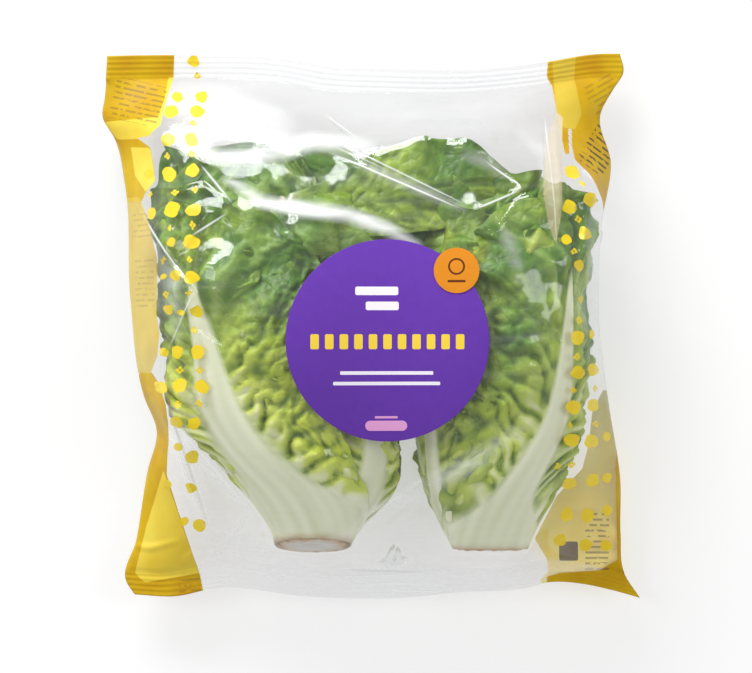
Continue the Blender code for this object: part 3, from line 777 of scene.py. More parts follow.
def height_map(points, x, y, empty, sign):
    """The highest (sign 1) or lowest (sign -1) of the points over each spot of the plan."""
    size = int(2 * MAP_REACH / MAP_CELL)
    grid = np.full((size, size), -1e6)
    column = ((points[:, 0] + MAP_REACH) / MAP_CELL).astype(int)
    row = ((points[:, 1] + MAP_REACH) / MAP_CELL).astype(int)
    np.maximum.at(grid, (row, column), sign * points[:, 2])
    grid = spread_max(grid, 1)
    r = np.clip(((y + MAP_REACH) / MAP_CELL).astype(int), 0, size - 1)
    c = np.clip(((x + MAP_REACH) / MAP_CELL).astype(int), 0, size - 1)
    found = grid[r, c]
    return np.where(found > -1e5, sign * found, empty)


def fold_rise(x, y, path, half_width, rise):
    """The height that one standing fold adds: a sharp crest that dies away at its ends."""
    path = np.array(path, float)
    lengths = np.hypot(*np.diff(path, axis=0).T)
    total, best, place = lengths.sum(), np.full(x.shape, 1e6), np.zeros(x.shape)
    for k in range(len(path) - 1):
        run = path[k + 1] - path[k]
        along = np.clip(((x - path[k, 0]) * run[0] + (y - path[k, 1]) * run[1]) / (run @ run), 0, 1)
        distance = np.hypot(x - path[k, 0] - along * run[0], y - path[k, 1] - along * run[1])
        nearer = distance < best
        best = np.where(nearer, distance, best)
        place = np.where(nearer, (lengths[:k].sum() + along * lengths[k]) / total, place)
    taper = np.sqrt(np.clip(np.sin(math.pi * np.clip(place, 0.0, 1)), 0, 1))
    width = half_width * (0.45 + 0.55 * taper)
    off = best / width
    return rise * taper * np.maximum(1 - np.sqrt(off * off + 0.02), 0)


def film_folds(x, y):
    """The named folds, with many small ones strewn between them."""
    rng = np.random.default_rng(11)
    total = np.zeros_like(x)
    for path, half_width, rise in FILM_FOLDS:
        total = np.maximum(total, fold_rise(x, y, path, half_width, rise))
    for _ in range(SMALL_FOLDS):
        centre = rng.uniform((-98, -100), (98, 100))
        heading = math.atan2(centre[1] - 20, centre[0]) + rng.normal(0, 0.9)
        half = rng.uniform(4, 14)
        bend = rng.normal(0, 0.25)
        step = np.array([math.cos(heading), math.sin(heading)]) * half
        across = np.array([-step[1], step[0]]) * bend
        path = (centre - step, centre + across, centre + step)
        total = np.maximum(total, fold_rise(x, y, path, rng.uniform(1.2, 2.4), rng.uniform(0.4, 1.1)))
    return total


def label_height(front, roof, x, y, centre, radius):
    """The height of a stiff paper disc on the film: a smooth sheet that clears what it lies on."""
    near = np.hypot(x - centre[0], y - centre[1]) < radius + 3
    px, py, pz = (x - centre[0])[near], (y - centre[1])[near], front[near]
    def terms(u, v):
        return np.stack([np.ones_like(u), u, v, u * u, u * v, v * v, u**3, u * u * v, u * v * v, v**3,
                         u**4, u * u * v * v, v**4], -1)
    fit = np.linalg.lstsq(terms(px, py), pz, rcond=None)[0]
    lift = np.max(roof[near] - terms(px, py) @ fit)
    return lambda u, v: terms(u - centre[0], v - centre[1]) @ fit + lift


def film_heights(x, y, leaves):
    """The height of the shown face and of the underside at each grid point, and the label's surface."""
    row = np.arange(x.shape[0])[:, None] + np.zeros_like(x)
    sealed = (row <= CELLS_IN_SEAL) | (row >= x.shape[0] - 1 - CELLS_IN_SEAL)
    at_side = np.zeros_like(sealed)
    at_side[:, 0] = at_side[:, -1] = True
    held = sealed | at_side
    seal_height = SEAL_HEIGHT + SEAL_SWAY * np.sin(x / SEAL_SWAY_LENGTH + np.sign(y))
    lift = np.cos(np.clip(y / HALF_LENGTH, -1, 1) * math.pi / 2) ** 2
    fold_height = FOLD_HEIGHT_AT_ENDS + (FOLD_HEIGHT_AT_MIDDLE - FOLD_HEIGHT_AT_ENDS) * lift
    edge = np.where(sealed, seal_height, fold_height)

    rng = np.random.default_rng(5)
    roof = height_map(leaves, x, y, -1e3, 1) + FILM_CLEARANCE
    ground = height_map(leaves, x, y, 1e3, -1) - FILM_CLEARANCE
    front = settled(edge + EDGE_THICKNESS / 2, held, roof, np.full_like(x, 1e3), FILM_PUFF)
    back = settled(edge - EDGE_THICKNESS / 2, held, np.zeros_like(x), np.maximum(ground, 0), 0)
    column = np.arange(x.shape[1])[None, :] + np.zeros_like(x)
    inwards = np.minimum(np.minimum(row, row[::-1]) - CELLS_IN_SEAL, np.minimum(column, column[:, ::-1]))
    smooth = eased(front, FILM_TAUTNESS)
    smooth += eased(spread_max(np.maximum(roof - smooth, 0), 4), 24)
    front = np.where(held, front, front + (smooth - front) * smooth_step(inwards, 0, 14))
    (puff_x, puff_y), (reach_x, reach_y), puff = PUFFED_CORNER
    stand_off = puff * np.exp(-(((x - puff_x) / reach_x) ** 2) - ((y - puff_y) / reach_y) ** 2)
    loose = smooth_step(np.abs(row - row.mean()) / row.mean(), 1, 0.86) * ~held
    swell = 0.3 * waves(rng, x, y, 40.0) + 0.06 * waves(rng, x, y, 14.0)
    front = front + (stand_off + film_folds(x, y) + swell + 0.6) * loose
    back = back + np.clip(0.5 * waves(rng, x, y, 16.0) - 0.25, 0, 2) * (back > 0.5) * loose

    surface = label_height(front, roof, x, y, LABEL_CENTRE, LABEL_RADIUS)
    from_centre = np.hypot(x - LABEL_CENTRE[0], y - LABEL_CENTRE[1])
    under_label = smooth_step(from_centre, LABEL_RADIUS + 16, LABEL_RADIUS + 1)
    front = front * (1 - under_label) + (surface(x, y) - STUCK_GAP) * under_label
    front = np.where(held, front, np.maximum(front, back + LEAST_THICKNESS))
    return front, back, surface


def new_tree(name, **kinds):
    """A Geometry Nodes tree with geometry in and out, and an input of each kind named."""
    tree = bpy.data.node_groups.new(name, "GeometryNodeTree")
    face = tree.interface
    for key, kind in {"Geometry": "Geometry", **kinds}.items():
        face.new_socket(key, in_out="INPUT", socket_type="NodeSocket" + kind)
    face.new_socket("Geometry", in_out="OUTPUT", socket_type="NodeSocketGeometry")
    return tree, tree.nodes.new("NodeGroupInput").outputs


def end_tree(tree, geometry, material):
    """Realize Instances and Set Material, with which every tree ends."""
    real = add_node(tree, "GeometryNodeRealizeInstances", {0: geometry}).outputs[0]
    done = add_node(tree, "GeometryNodeSetMaterial", {"Geometry": real, "Material": material}).outputs[0]
    add_node(tree, "NodeGroupOutput", {0: done})


def stored(tree, key):
    """An attribute of the points, read inside a Geometry Nodes tree."""
    node = add_node(tree, "GeometryNodeInputNamedAttribute", {"Name": key}, data_type="FLOAT")
    return node.outputs["Attribute"]


def crimp_tree():
    """Geometry Nodes that press the crimps into the film's seals, along the attribute named seal."""
    tree, given = new_tree("seal_crimps", Pitch="Float", Depth="Float", Film="Material")
    turns = calc(tree, "DIVIDE", stored(tree, "into_seal"), given["Pitch"])
    wave = calc(tree, "SINE", calc(tree, "MULTIPLY", turns, 2 * math.pi))
    rise = calc(tree, "MULTIPLY", calc(tree, "MULTIPLY", wave, given["Depth"]), stored(tree, "seal"))
    moved = add_node(tree, "GeometryNodeSetPosition", {
        "Geometry": given["Geometry"], "Offset": vector_of(tree, 0.0, 0.0, rise)})
    end_tree(tree, moved.outputs[0], given["Film"])
    return tree


def dot_tree():
    """Geometry Nodes that lay a thin round spot on the film under each point, as wide as its radius."""
    tree, given = new_tree("printed_dots", Film="Object", Thickness="Float", Ink="Material")
    spot = add_node(tree, "GeometryNodeMeshCylinder", {
        "Vertices": 28, "Fill Segments": 3, "Radius": 1.0, "Depth": given["Thickness"]})
    radius = stored(tree, "radius")
    copies = add_node(tree, "GeometryNodeInstanceOnPoints", {
        "Points": given["Geometry"], "Instance": spot.outputs["Mesh"],
        "Scale": vector_of(tree, radius, calc(tree, "MULTIPLY", radius, 0.93), 1.0)})
    real = add_node(tree, "GeometryNodeRealizeInstances", {0: copies.outputs[0]})

    # Each spot is pulled a little out of round, then dropped on the film from above.
    position = add_node(tree, "GeometryNodeInputPosition").outputs[0]
    pull = add_node(tree, "ShaderNodeTexNoise", {"Scale": 210.0, "Detail": 1.0, "Vector": position})
    centred = vector_calc(tree, "SUBTRACT", pull.outputs["Color"], (0.5, 0.5, 0.5))
    place = parts_of(tree, vector_calc(tree, "MULTIPLY_ADD", centred, (0.0035, 0.0028, 0.0), position))
    film = add_node(tree, "GeometryNodeObjectInfo", {"Object": given["Film"]})
    ray = add_node(tree, "GeometryNodeRaycast", {
        "Target Geometry": film.outputs["Geometry"],
        "Source Position": vector_of(tree, place["X"], place["Y"], 0.2),
        "Ray Direction": (0.0, 0.0, -1.0), "Ray Length": 1.0})
    landed = parts_of(tree, ray.outputs["Hit Position"])["Z"]
    height = calc(tree, "ADD", calc(tree, "ADD", landed, place["Z"]), given["Thickness"])
    moved = add_node(tree, "GeometryNodeSetPosition", {
        "Geometry": real.outputs[0], "Position": vector_of(tree, place["X"], place["Y"], height)})
    end_tree(tree, moved.outputs[0], given["Ink"])
    return tree


def dots_piece(film, material):
    """The printed dots, and the clusters of small ones between them."""
    spots = list(DOTS)
    for x, y in CLUSTERS:
        spots += [(x + CLUSTER_REACH * math.cos(turn), y + CLUSTER_REACH * math.sin(turn), CLUSTER_DOT)
                  for turn in np.radians((0, 90, 180, 270))]
    spots = np.array(spots)
    mesh = bpy.data.meshes.new("printed_dots")
    mesh.from_pydata([(x * MM, y * MM, 0) for x, y, _ in spots], [], [])
    mesh.attributes.new("radius", "FLOAT", "POINT").data.foreach_set("value", spots[:, 2] * MM)
    piece = bpy.data.objects.new("printed_dots", mesh)
    bpy.context.scene.collection.objects.link(piece)
    apply_tree(piece, dot_tree(), Film=film, Thickness=DOT_THICKNESS * MM, Ink=material)
    piece.data.shade_smooth()
    piece.data.set_sharp_from_angle(angle=math.radians(45))
    return piece


def apply_tree(piece, tree, **values):
    """Runs a Geometry Nodes tree on a piece and keeps the result as its plain mesh."""
    modifier = piece.modifiers.new(tree.name, "NODES")
    modifier.node_group = tree
    for item in tree.interface.items_tree:
        if item.in_out == "INPUT" and item.name in values:
            modifier[item.identifier] = values[item.name]
    graph = bpy.context.evaluated_depsgraph_get()
    mesh = bpy.data.meshes.new_from_object(piece.evaluated_get(graph))
    piece.modifiers.clear()
    piece.data = mesh


def inside_by(x, y, areas):
    """How far each point lies inside the nearest of some areas, in mm: less than 0 outside."""
    best = np.full(x.size, -1e3)
    x, y = x.ravel(), y.ravel()
    for corners in areas:
        distance, inside = np.full(x.size, 1e3), np.zeros(x.size, bool)
        for (x0, y0), (x1, y1) in zip(corners, corners[1:] + corners[:1]):
            run_x, run_y = x1 - x0, y1 - y0
            along = np.clip(((x - x0) * run_x + (y - y0) * run_y) / (run_x**2 + run_y**2), 0, 1)
            distance = np.minimum(distance, np.hypot(x - x0 - along * run_x, y - y0 - along * run_y))
            if y0 != y1:
                inside ^= ((y0 > y) != (y1 > y)) & (x < x0 + (y - y0) * run_x / run_y)
        best = np.maximum(best, np.where(inside, distance, -distance))
    return best


def film_piece(material, leaves):
    """The film of the bag: its shown face and its back, joined all round, with a UV map of its plan in mm."""
    x, y = film_plan()
    front, back, surface = film_heights(x, y, leaves)
    rows, columns = x.shape
    count = rows * columns
    upper, lower = rim_of(rows, columns), rim_of(rows, columns, count)
    walls = np.stack([upper, lower, np.roll(lower, -1), np.roll(upper, -1)], -1)
    faces = np.concatenate([quad_rows(rows, columns)[:, ::-1], quad_rows(rows, columns, count), walls])
    points = np.concatenate([np.stack([x, y, z], -1).reshape(-1, 3) for z in (front, back)])

    row = np.arange(rows)[:, None] + 0 * x
    seal_row = np.minimum(row, rows - 1 - row)
    into_seal = seal_row * SEAL_WIDTH / CELLS_IN_SEAL
    # The bands of painted highlight on the shown face; the back gets none.
    painted_sheen = np.max([fold_rise(x, y, *sheen_band) for sheen_band in SHEEN_BANDS], 0)
    in_seal = smooth_step(seal_row, CELLS_IN_SEAL, CELLS_IN_SEAL - 1.5) * smooth_step(seal_row, 0.5, 1.5)
    unprinted = np.full(count, -9.0)
    attributes = [
        ("seal", np.tile(in_seal.ravel(), 2)),
        ("into_seal", np.tile(into_seal.ravel() * MM, 2)),
        ("painted_sheen", np.concatenate([painted_sheen.ravel(), np.zeros(count)])),
        ("back_ink", np.concatenate([unprinted, inside_by(x, y, BACK_INK)])),
    ]
    for key, areas in FRONT_INKS.items():
        attributes.append((key, np.concatenate([inside_by(x, y, areas), unprinted])))
    plan = np.tile(np.stack([x.ravel(), y.ravel()], -1), (2, 1))
    piece = new_piece("film", [(points, faces)], material, attributes, [("plan", plan)])
    apply_tree(piece, crimp_tree(), Pitch=CRIMP_PITCH * MM, Depth=CRIMP_DEPTH * MM, Film=material)
    return piece, surface


def disc_piece(name, centre, radius, height, lift, material):
    """A round sticker laid on a height function, with a UV map in mm from its own middle."""
    rings, columns = 44, 120
    r = np.concatenate([np.linspace(0, 0.97, rings - 3), (0.985, 0.995, 1.0)])[:, None] * radius
    angle = np.linspace(0, 2 * math.pi, columns, endpoint=False)[None, :]
    x, y = centre[0] + r * np.cos(angle), centre[1] + r * np.sin(angle)
    top = height(x, y) + lift + PAPER_THICKNESS
    bottom = top - PAPER_THICKNESS
    profile = [np.stack([x, y, top], -1), np.stack([x, y, bottom], -1)[::-1]]
    points = np.concatenate([p.reshape(-1, 3) for p in profile])
    faces = quad_rows(2 * rings, columns, wrap=True)
    plan = points[:, :2] - np.array(centre)
    return new_piece(name, [(points, faces)], material, (), [("print", plan)], poles=True)


# Nodes

def put(tree, socket, value):
    """Links another socket into this one, or sets its plain value."""
    if isinstance(value, bpy.types.NodeSocket):
        tree.links.new(value, socket)
    else:
        socket.default_value = value


def fill(tree, node, values):
    """Gives a node its inputs, each by name or number."""
    for key, value in values.items():
        put(tree, node.inputs[key], value)


def add_node(tree, kind, values=(), **settings):
    """A new node with its settings and its inputs."""
    node = tree.nodes.new(kind)
    for key, value in settings.items():
        setattr(node, key, value)
    fill(tree, node, dict(values))
    return node


def calc(tree, operation, *values):
    """One sum, of sockets and plain numbers."""
    return add_node(tree, "ShaderNodeMath", enumerate(values), operation=operation).outputs[0]


def vector_calc(tree, operation, *values):
    return add_node(tree, "ShaderNodeVectorMath", enumerate(values), operation=operation).outputs[0]


def vector_of(tree, x, y, z):
    return add_node(tree, "ShaderNodeCombineXYZ", {"X": x, "Y": y, "Z": z}).outputs[0]


def parts_of(tree, vector):
    return add_node(tree, "ShaderNodeSeparateXYZ", {0: vector}).outputs


def mixed(tree, share, first, second):
    """A colour between two, each a socket or plain numbers."""
    return add_node(tree, "ShaderNodeMix", {0: share, 6: first, 7: second}, data_type="RGBA").outputs[2]


def mixed_shader(tree, share, first, second):
    return add_node(tree, "ShaderNodeMixShader", {0: share, 1: first, 2: second}).outputs[0]


def attribute(tree, name):
    return add_node(tree, "ShaderNodeAttribute", attribute_name=name).outputs["Fac"]


def noise(tree, scale, detail=3.0, vector=None):
    if vector is None:
        vector = add_node(tree, "ShaderNodeTexCoord").outputs["Object"]
    texture = add_node(tree, "ShaderNodeTexNoise", {"Scale": scale, "Detail": detail, "Vector": vector})
    return texture.outputs["Fac"]


def bumped(tree, height, strength, distance):
    bump = add_node(tree, "ShaderNodeBump", {"Strength": strength, "Distance": distance, "Height": height})
    return bump.outputs["Normal"]


def new_material(name):
    material = bpy.data.materials.new(name)
    material.use_nodes = True
    tree = material.node_tree
    return material, tree, tree.nodes["Principled BSDF"]


def uv(tree, name):
    """A UV map as a vector, and its two coordinates."""
    plan = add_node(tree, "ShaderNodeUVMap", uv_map=name).outputs[0]
    parts = parts_of(tree, plan)
    return plan, parts["X"], parts["Y"]


def in_box(tree, x, y, centre, half, corner):
    """1 inside a box with round corners, 0 outside."""
    squares = []
    for value, middle, reach in ((x, centre[0], half[0] - corner), (y, centre[1], half[1] - corner)):
        off = calc(tree, "ABSOLUTE", calc(tree, "SUBTRACT", value, middle))
        past = calc(tree, "MAXIMUM", calc(tree, "SUBTRACT", off, reach), 0.0)
        squares.append(calc(tree, "POWER", past, 2.0))
    return calc(tree, "LESS_THAN", calc(tree, "SQRT", calc(tree, "ADD", *squares)), corner)


def repeated(tree, value, middle, pitch):
    """A coordinate folded so that what lies round middle comes again every pitch."""
    turn = calc(tree, "ADD", calc(tree, "DIVIDE", calc(tree, "SUBTRACT", value, middle), pitch), 0.5)
    return calc(tree, "MULTIPLY", calc(tree, "SUBTRACT", calc(tree, "FRACT", turn), 0.5), pitch)


def turned(tree, x, y, centre, degrees):
    """Coordinates round a centre, turned."""
    cosine, sine = math.cos(math.radians(degrees)), math.sin(math.radians(degrees))
    dx, dy = calc(tree, "SUBTRACT", x, centre[0]), calc(tree, "SUBTRACT", y, centre[1])
    along = calc(tree, "MULTIPLY_ADD", dx, cosine, calc(tree, "MULTIPLY", dy, sine))
    across = calc(tree, "MULTIPLY_ADD", dy, cosine, calc(tree, "MULTIPLY", dx, -sine))
    return along, across


# Materials

def leaf_material():
    """Lettuce leaf: pale ribs, yellow-green folds and darker blades, with a waxy skin. The valleys between
    the folds are darker partly from their own deeper green and partly from painted shade.
    """
    material, tree, surface = new_material("lettuce_leaf")
    rib, crest, green, foot = (attribute(tree, name) for name in ("rib", "crest", "green", "foot"))
    mottle = noise(tree, 120.0, 4.0)
    shade = calc(tree, "MULTIPLY_ADD", calc(tree, "SUBTRACT", mottle, 0.5), 0.7, green)
    # Painted shade: the low colours, where crest is small, darken the valleys between the folds beyond their
    # own deeper green.
    high = mixed(tree, shade, srgb(194, 212, 56), srgb(84, 130, 28))
    low = mixed(tree, shade, srgb(92, 124, 6), srgb(30, 64, 8))
    blade = mixed(tree, calc(tree, "POWER", crest, 1.3), low, high)
    pale = mixed(tree, crest, srgb(208, 215, 176), srgb(236, 240, 212))
    young_vein = mixed(tree, crest, srgb(104, 134, 14), srgb(208, 220, 104))
    grown_vein = mixed(tree, crest, srgb(76, 116, 24), srgb(144, 176, 80))
    vein = mixed(tree, green, young_vein, grown_vein)
    near_rib = calc(tree, "MINIMUM", calc(tree, "MULTIPLY", rib, 1.7), 1.0)
    in_rib = calc(tree, "MAXIMUM", calc(tree, "MULTIPLY_ADD", rib, 2.6, -1.1), 0.0)
    colour = mixed(tree, in_rib, mixed(tree, near_rib, blade, vein), pale)
    brown = calc(tree, "MULTIPLY", foot, calc(tree, "MULTIPLY", mottle, 1.3))
    place = add_node(tree, "ShaderNodeTexCoord").outputs["Object"]
    cells = add_node(tree, "ShaderNodeTexVoronoi", {
        "Scale": 240.0, "Vector": place}, feature="DISTANCE_TO_EDGE")
    soft = calc(tree, "MINIMUM", cells.outputs["Distance"], 0.25)
    skin = calc(tree, "MULTIPLY_ADD", noise(tree, 900.0, 2.0), 0.08, soft)
    blade_only = calc(tree, "MULTIPLY", skin, calc(tree, "SUBTRACT", 1.0, rib))
    fill(tree, surface, {
        "Base Color": mixed(tree, brown, colour, srgb(172, 132, 84)),
        "Roughness": calc(tree, "MULTIPLY_ADD", mottle, 0.22, 0.34),
        "Subsurface Weight": 0.12,
        "Subsurface Radius": (0.0016, 0.0024, 0.0006),
        "Subsurface Scale": 1.0,
        "Specular IOR Level": 0.45,
        "Normal": bumped(tree, blade_only, 0.5, 0.0018),
    })
    return material


def stem_material():
    """The cut stem: a pale face, browned at its rim, and cream walls."""
    material, tree, surface = new_material("cut_stem")
    stain = noise(tree, 160.0, 4.0)
    patches = calc(tree, "MULTIPLY", calc(tree, "SUBTRACT", stain, 0.55), 0.7)
    rim = calc(tree, "ADD", attribute(tree, "from_middle"), patches)
    ramp = add_node(tree, "ShaderNodeValToRGB", {"Fac": rim})
    stops = ramp.color_ramp.elements
    stops[0].position, stops[0].color = 0.0, srgb(206, 200, 186)
    stops[1].position, stops[1].color = 1.0, srgb(176, 126, 80)
    for position, shade in ((0.35, (214, 212, 204)), (0.72, (205, 198, 184)), (0.86, (204, 172, 132))):
        stops.new(position).color = srgb(*shade)
    fill(tree, surface, {
        "Base Color": mixed(tree, attribute(tree, "cut"), srgb(222, 226, 200), ramp.outputs["Color"]),
        "Roughness": calc(tree, "MULTIPLY_ADD", stain, 0.3, 0.45),
        "Subsurface Weight": 0.1,
        "Subsurface Radius": (0.003, 0.0025, 0.0015),
        "Subsurface Scale": 1.0,
        "Normal": bumped(tree, noise(tree, 420.0, 3.0), 0.4, 0.0008),
    })
    return material


def ink_edge(tree, name):
    """1 where an ink covers the film, with a soft edge as wide as INK_EDGE."""
    edge = add_node(tree, "ShaderNodeMapRange", {
        "Value": attribute(tree, name), "From Min": -INK_EDGE / 2, "From Max": INK_EDGE / 2})
    return edge.outputs["Result"]


def thin_bars(tree, x, y):
    """The blocks of thin bars, each bar broken into short lengths."""
    total = 0.0
    breaks = calc(tree, "GREATER_THAN", noise(tree, 420.0, 1.0), 0.44)
    for centre, half, turn, strength in BAR_BLOCKS:
        along, across = turned(tree, x, y, centre, turn)
        block = calc(tree, "MULTIPLY", in_box(tree, along, across, (0.0, 0.0), half, 0.3), strength)
        from_bar = calc(tree, "ABSOLUTE", repeated(tree, across, 0.0, BAR_PITCH))
        line = calc(tree, "LESS_THAN", from_bar, 0.2 * BAR_PITCH)
        total = calc(tree, "MAXIMUM", total, calc(tree, "MULTIPLY", block, line))
    return calc(tree, "MULTIPLY", total, breaks)


def painted_crease_glints(tree, plan):
    """How strongly each spot of the film takes the white painted highlight of a crease."""
    total = 0.0
    for (x0, y0), (x1, y1), half, strength in CREASE_GLINTS:
        local = add_node(tree, "ShaderNodeMapping", {
            "Vector": plan,
            "Location": ((x0 + x1) / 2, (y0 + y1) / 2, 0.0),
            "Rotation": (0.0, 0.0, math.atan2(y1 - y0, x1 - x0)),
            "Scale": (math.hypot(x1 - x0, y1 - y0) / 2, half, 1.0),
        }, vector_type="TEXTURE")
        parts = parts_of(tree, local.outputs[0])
        ends = calc(tree, "POWER", calc(tree, "ABSOLUTE", parts["X"]), 3.0)
        off = calc(tree, "ADD", ends, calc(tree, "ABSOLUTE", parts["Y"]))
        total = calc(tree, "MAXIMUM", total, calc(tree, "MULTIPLY_ADD", off, -strength, strength))
    return total


def film_material():
    """Clear film that mirrors a little, with white painted highlights on its creases, seals and bands,
    streaks that are partly scuffing and partly painted reflection, and yellow print near its folds.
    """
    material, tree, ink = new_material("clear_film")
    plan, x, y = uv(tree, "plan")
    solid, cream, lemon, pale, back = (ink_edge(tree, name + "_ink")
                                       for name in ("solid", "cream", "lemon", "pale", "back"))
    spread = calc(tree, "MULTIPLY_ADD", calc(tree, "SUBTRACT", noise(tree, 45.0, 3.0), 0.5), 2.2, 0.5)
    tone = calc(tree, "MINIMUM", calc(tree, "MAXIMUM", spread, 0.0), 1.0)
    colour = mixed(tree, tone, srgb(204, 172, 12), srgb(178, 130, 0))
    # The pale and back inks are one yellow side print in two colours: the back ink painted lighter to make up
    # for the shade inside the bag, the pale ink darker for the stronger light at the left side.
    for mask, first, second in ((lemon, srgb(226, 208, 84), srgb(216, 184, 44)),
                                (pale, srgb(208, 184, 66), srgb(192, 162, 44)),
                                (back, srgb(255, 236, 128), srgb(255, 222, 92))):
        colour = mixed(tree, mask, colour, mixed(tree, tone, first, second))
    bars = calc(tree, "MULTIPLY", thin_bars(tree, x, y), 0.8)
    bars = calc(tree, "MAXIMUM", bars, in_box(tree, x, y, *DARK_BLOCK))
    colour = mixed(tree, cream, mixed(tree, bars, colour, srgb(104, 84, 44)), srgb(208, 192, 152))
    cover = 0.0
    for mask, share in ((solid, 0.99), (back, 0.9), (pale, 0.84), (cream, 0.42)):
        cover = calc(tree, "MAXIMUM", cover, calc(tree, "MULTIPLY", mask, share))

    wrinkle = calc(tree, "ADD", noise(tree, 190.0, 3.0), calc(tree, "MULTIPLY", noise(tree, 55.0, 2.0), 1.4))
    normal = bumped(tree, wrinkle, 0.12, 0.001)
    fill(tree, ink, {"Base Color": colour, "Roughness": 0.42, "Specular IOR Level": 0.12, "Normal": normal})
    clear = add_node(tree, "ShaderNodeBsdfTransparent", {"Color": FILM_TINT}).outputs[0]
    shine = add_node(tree, "ShaderNodeBsdfAnisotropic", {
        "Color": (0.95, 0.97, 1.0, 1.0), "Roughness": 0.1, "Normal": normal}, distribution="GGX").outputs[0]
    facing = add_node(tree, "ShaderNodeLayerWeight", {"Blend": 0.5, "Normal": normal}).outputs["Facing"]
    mirror = calc(tree, "MULTIPLY_ADD", calc(tree, "POWER", facing, 5.0), MIRROR_AT_EDGES, MIRROR_HEAD_ON)
    film = mixed_shader(tree, mirror, clear, shine)

    # Painted highlights: white painted along the creases, the seals and the bands, and in streaks that are
    # partly scuffing and partly painted reflection.
    streaks = add_node(tree, "ShaderNodeMapping", {
        "Vector": plan, "Rotation": (0.0, 0.0, math.radians(25)), "Scale": (0.02, 0.16, 1.0)})
    streaky = noise(tree, 1.0, 4.0, streaks.outputs[0])
    sheen_band = calc(tree, "MULTIPLY", attribute(tree, "painted_sheen"), calc(tree, "MULTIPLY_ADD", streaky, 1.7, -0.1))
    # Painted glints along the seals.
    in_seal = calc(tree, "MULTIPLY", attribute(tree, "seal"), SEAL_GLINT_WHITE)
    glint_mask = calc(tree, "MAXIMUM", calc(tree, "MAXIMUM", painted_crease_glints(tree, plan), in_seal), sheen_band)
    # Streaks of white, partly scuffing of the film and partly painted reflection, added to the painted crease
    # glints.
    glint_and_scuff_share = calc(tree, "MULTIPLY_ADD", calc(tree, "POWER", streaky, 4.0), STREAK_SCUFF_AND_SHEEN_WHITE,
                calc(tree, "MULTIPLY", glint_mask, CREASE_GLINT_WHITE))
    white = add_node(tree, "ShaderNodeBsdfDiffuse", {"Color": (0.94, 0.95, 0.96, 1.0)}).outputs[0]
    film_with_glints = mixed_shader(tree, glint_and_scuff_share, film, white)
    whole = mixed_shader(tree, cover, film_with_glints, ink.outputs[0])
    put(tree, tree.nodes["Material Output"].inputs["Surface"], whole)
    return material


def dot_material():
    """Yellow ink, thin enough that a bright ground shows through it a little."""
    material, tree, ink = new_material("dot_ink")
    tone = noise(tree, 90.0, 2.0)
    fill(tree, ink, {
        "Base Color": mixed(tree, tone, srgb(246, 224, 36), srgb(234, 204, 24)),
        "Roughness": calc(tree, "MULTIPLY_ADD", tone, 0.2, 0.25),
        "Normal": bumped(tree, noise(tree, 200.0, 2.0), 0.15, 0.0005),
    })
    clear = add_node(tree, "ShaderNodeBsdfTransparent", {"Color": (1.0, 0.95, 0.5, 1.0)}).outputs[0]
    whole = mixed_shader(tree, DOT_COVER, clear, ink.outputs[0])
    put(tree, tree.nodes["Material Output"].inputs["Surface"], whole)
    return material


def paper_material(name, ground, marks):
    """Coated paper with plain printed shapes: each mark is a mask and its colour."""
    material, tree, surface = new_material(name)
    _, x, y = uv(tree, "print")
    grain = noise(tree, 260.0, 3.0)
    colour = mixed(tree, grain, ground[0], ground[1])
    for mask, tint in marks(tree, x, y):
        colour = mixed(tree, mask, colour, tint)
    fill(tree, surface, {
        "Base Color": colour,
        "Roughness": calc(tree, "MULTIPLY_ADD", grain, 0.12, 0.44),
        "Specular IOR Level": 0.12,
        "Normal": bumped(tree, grain, 0.15, 0.0004),
    })
    return material


def label_marks(tree, x, y):
    """The label's plain bars, and its row of blocks."""
    white, yellow, pink = srgb(238, 232, 244), srgb(238, 206, 70), srgb(226, 160, 212)
    blocks = in_box(tree, repeated(tree, x, YELLOW_ROW[0][0], YELLOW_PITCH), y, *YELLOW_BLOCK)
    row = calc(tree, "MULTIPLY", blocks, in_box(tree, x, y, *YELLOW_ROW))
    marks = [(in_box(tree, x, y, *bar), white) for bar in WHITE_BARS]
    return marks + [(row, yellow)] + [(in_box(tree, x, y, *bar), pink) for bar in PINK_BARS]


def sticker_marks(tree, x, y):
    """A plain ring over a short bar."""
    brown, middle = srgb(96, 52, 22), (0.0, 1.6)
    outer, inner = (in_box(tree, x, y, middle, (r, r), r - 0.01) for r in (3.4, 2.6))
    return [(calc(tree, "SUBTRACT", outer, inner), brown),
            (in_box(tree, x, y, (0.0, -4.3), (3.6, 0.5), 0.4), brown)]


def floor_material():
    """A pale floor that glows a little, so that it reads as bright paper."""
    material, tree, surface = new_material("pale_floor")
    fill(tree, surface, {
        "Base Color": mixed(tree, noise(tree, 8.0, 3.0), (0.42, 0.42, 0.425, 1.0), (0.46, 0.46, 0.46, 1.0)),
        "Roughness": 0.7,
        "Specular IOR Level": 0.2,
        "Emission Color": (1.0, 1.0, 1.0, 1.0),
        "Emission Strength": FLOOR_GLOW,
    })
    return material


# The room

def add_softbox(name, place, size, radiance):
    """A rectangular area light that looks at the bag."""
    light = bpy.data.lights.new(name, "AREA")
    light.shape = "RECTANGLE"
    light.size, light.size_y = size
    light.energy = radiance * math.pi * size[0] * size[1]
    lamp = bpy.data.objects.new(name, light)
    lamp.location = place
    towards = np.array((0, 0, 0.03)) - np.array(place)
    lamp.rotation_euler = Vector(towards).to_track_quat("-Z", "Y").to_euler()
    bpy.context.scene.collection.objects.link(lamp)


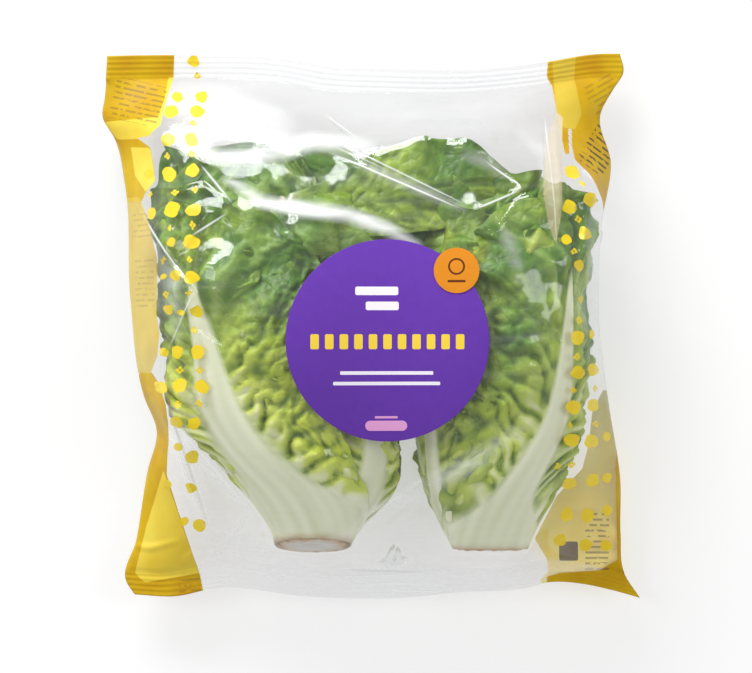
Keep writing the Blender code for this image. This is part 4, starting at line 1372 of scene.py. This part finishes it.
def build_room():
    corners = [(x * FLOOR_REACH, y * FLOOR_REACH, FLOOR_HEIGHT)
               for x, y in ((-1, -1), (1, -1), (1, 1), (-1, 1))]
    floor = new_piece("floor", [(np.array(corners, float), np.array([[0, 1, 2, 3]]))], floor_material())
    world = bpy.data.worlds.new("studio")
    world.use_nodes = True
    background = world.node_tree.nodes["Background"]
    fill(world.node_tree, background, {"Color": (1.0, 1.0, 1.0, 1.0), "Strength": WORLD_LIGHT})
    bpy.context.scene.world = world
    for name, (place, size, radiance) in SOFTBOXES.items():
        add_softbox(name, place, size, radiance)
    bpy.context.scene.view_settings.view_transform = "Standard"


def build_camera():
    """Straight down over the photograph's middle, at the distance that gives its scale and perspective."""
    camera_data = bpy.data.cameras.new("camera")
    distance = CAMERA_HEIGHT - SEAL_HEIGHT
    camera_data.sensor_width = SENSOR_WIDTH
    camera_data.lens = SENSOR_WIDTH * distance / (PHOTO_WIDTH * PHOTO_MM)
    camera_data.clip_start = 0.01
    camera = bpy.data.objects.new("camera", camera_data)
    x = (PHOTO_WIDTH / 2 - PHOTO_MIDDLE[0]) * PHOTO_MM * MM
    y = (PHOTO_MIDDLE[1] - PHOTO_HEIGHT / 2) * PHOTO_MM * MM
    camera.location = (x + frame_shift[0] * MM, y + frame_shift[1] * MM, CAMERA_HEIGHT * MM)
    bpy.context.scene.collection.objects.link(camera)
    bpy.context.scene.camera = camera


def points_of(piece):
    co = np.empty(len(piece.data.vertices) * 3, np.float32)
    piece.data.vertices.foreach_get("co", co)
    return co.reshape(-1, 3).astype(float)


def shift_to_frame(pieces):
    """Moves the finished meshes from the bag's own middle to the frame's origin."""
    for piece in pieces:
        moved = points_of(piece)
        moved[:, :2] += np.array(frame_shift) * MM
        piece.data.vertices.foreach_set("co", moved.astype(np.float32).ravel())
        piece.data.update()


plan_x, plan_y = film_plan()
low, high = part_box("bag")
frame_shift = (
    (low.x + high.x) / 2 / MM - (plan_x.min() + plan_x.max()) / 2,
    (low.y + high.y) / 2 / MM - (plan_y.min() + plan_y.max()) / 2,
)

leaf_look, stem_look = leaf_material(), stem_material()
contents = []
for number, (side, heart, leaves) in enumerate((("left", LEFT_HEART, LEFT_LEAVES),
                                                ("right", RIGHT_HEART, RIGHT_LEAVES))):
    for layer, table in leaves.items():
        for place, leaf in enumerate(table, 1):
            name = f"{side}_heart_{layer}_leaf_{place}"
            contents.append(leaf_piece(name, heart, leaf, layer, leaf_look, 100 + len(contents)))
    contents.append(core_piece(f"{side}_heart_core", heart, leaf_look, 70 + number))
    contents.append(stem_piece(f"{side}_heart_stem", heart, stem_look, 80 + number))
for name, loose in LOOSE_LEAVES.items():
    seed = 60 + len(contents)
    contents.append(leaf_piece(f"loose_leaf_{name}", loose, loose["leaf"], "loose", leaf_look, seed))

film, label_surface = film_piece(film_material(), np.concatenate([points_of(p) for p in contents]) / MM)
label = disc_piece("label", LABEL_CENTRE, LABEL_RADIUS, label_surface, 0.0,
                   paper_material("label_print", (srgb(96, 53, 160), srgb(102, 59, 168)), label_marks))
sticker = disc_piece("sticker", STICKER_CENTRE, STICKER_RADIUS, label_surface, PAPER_THICKNESS + STUCK_GAP,
                     paper_material("sticker_print", (srgb(208, 128, 28), srgb(214, 136, 36)), sticker_marks))
dots = dots_piece(film, dot_material())
made = [*contents, film, label, sticker, dots]
shift_to_frame(made)

for piece in made:
    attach(piece, "root")
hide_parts("bag")
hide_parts("round_label")
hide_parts("small_sticker")

build_room()
build_camera()
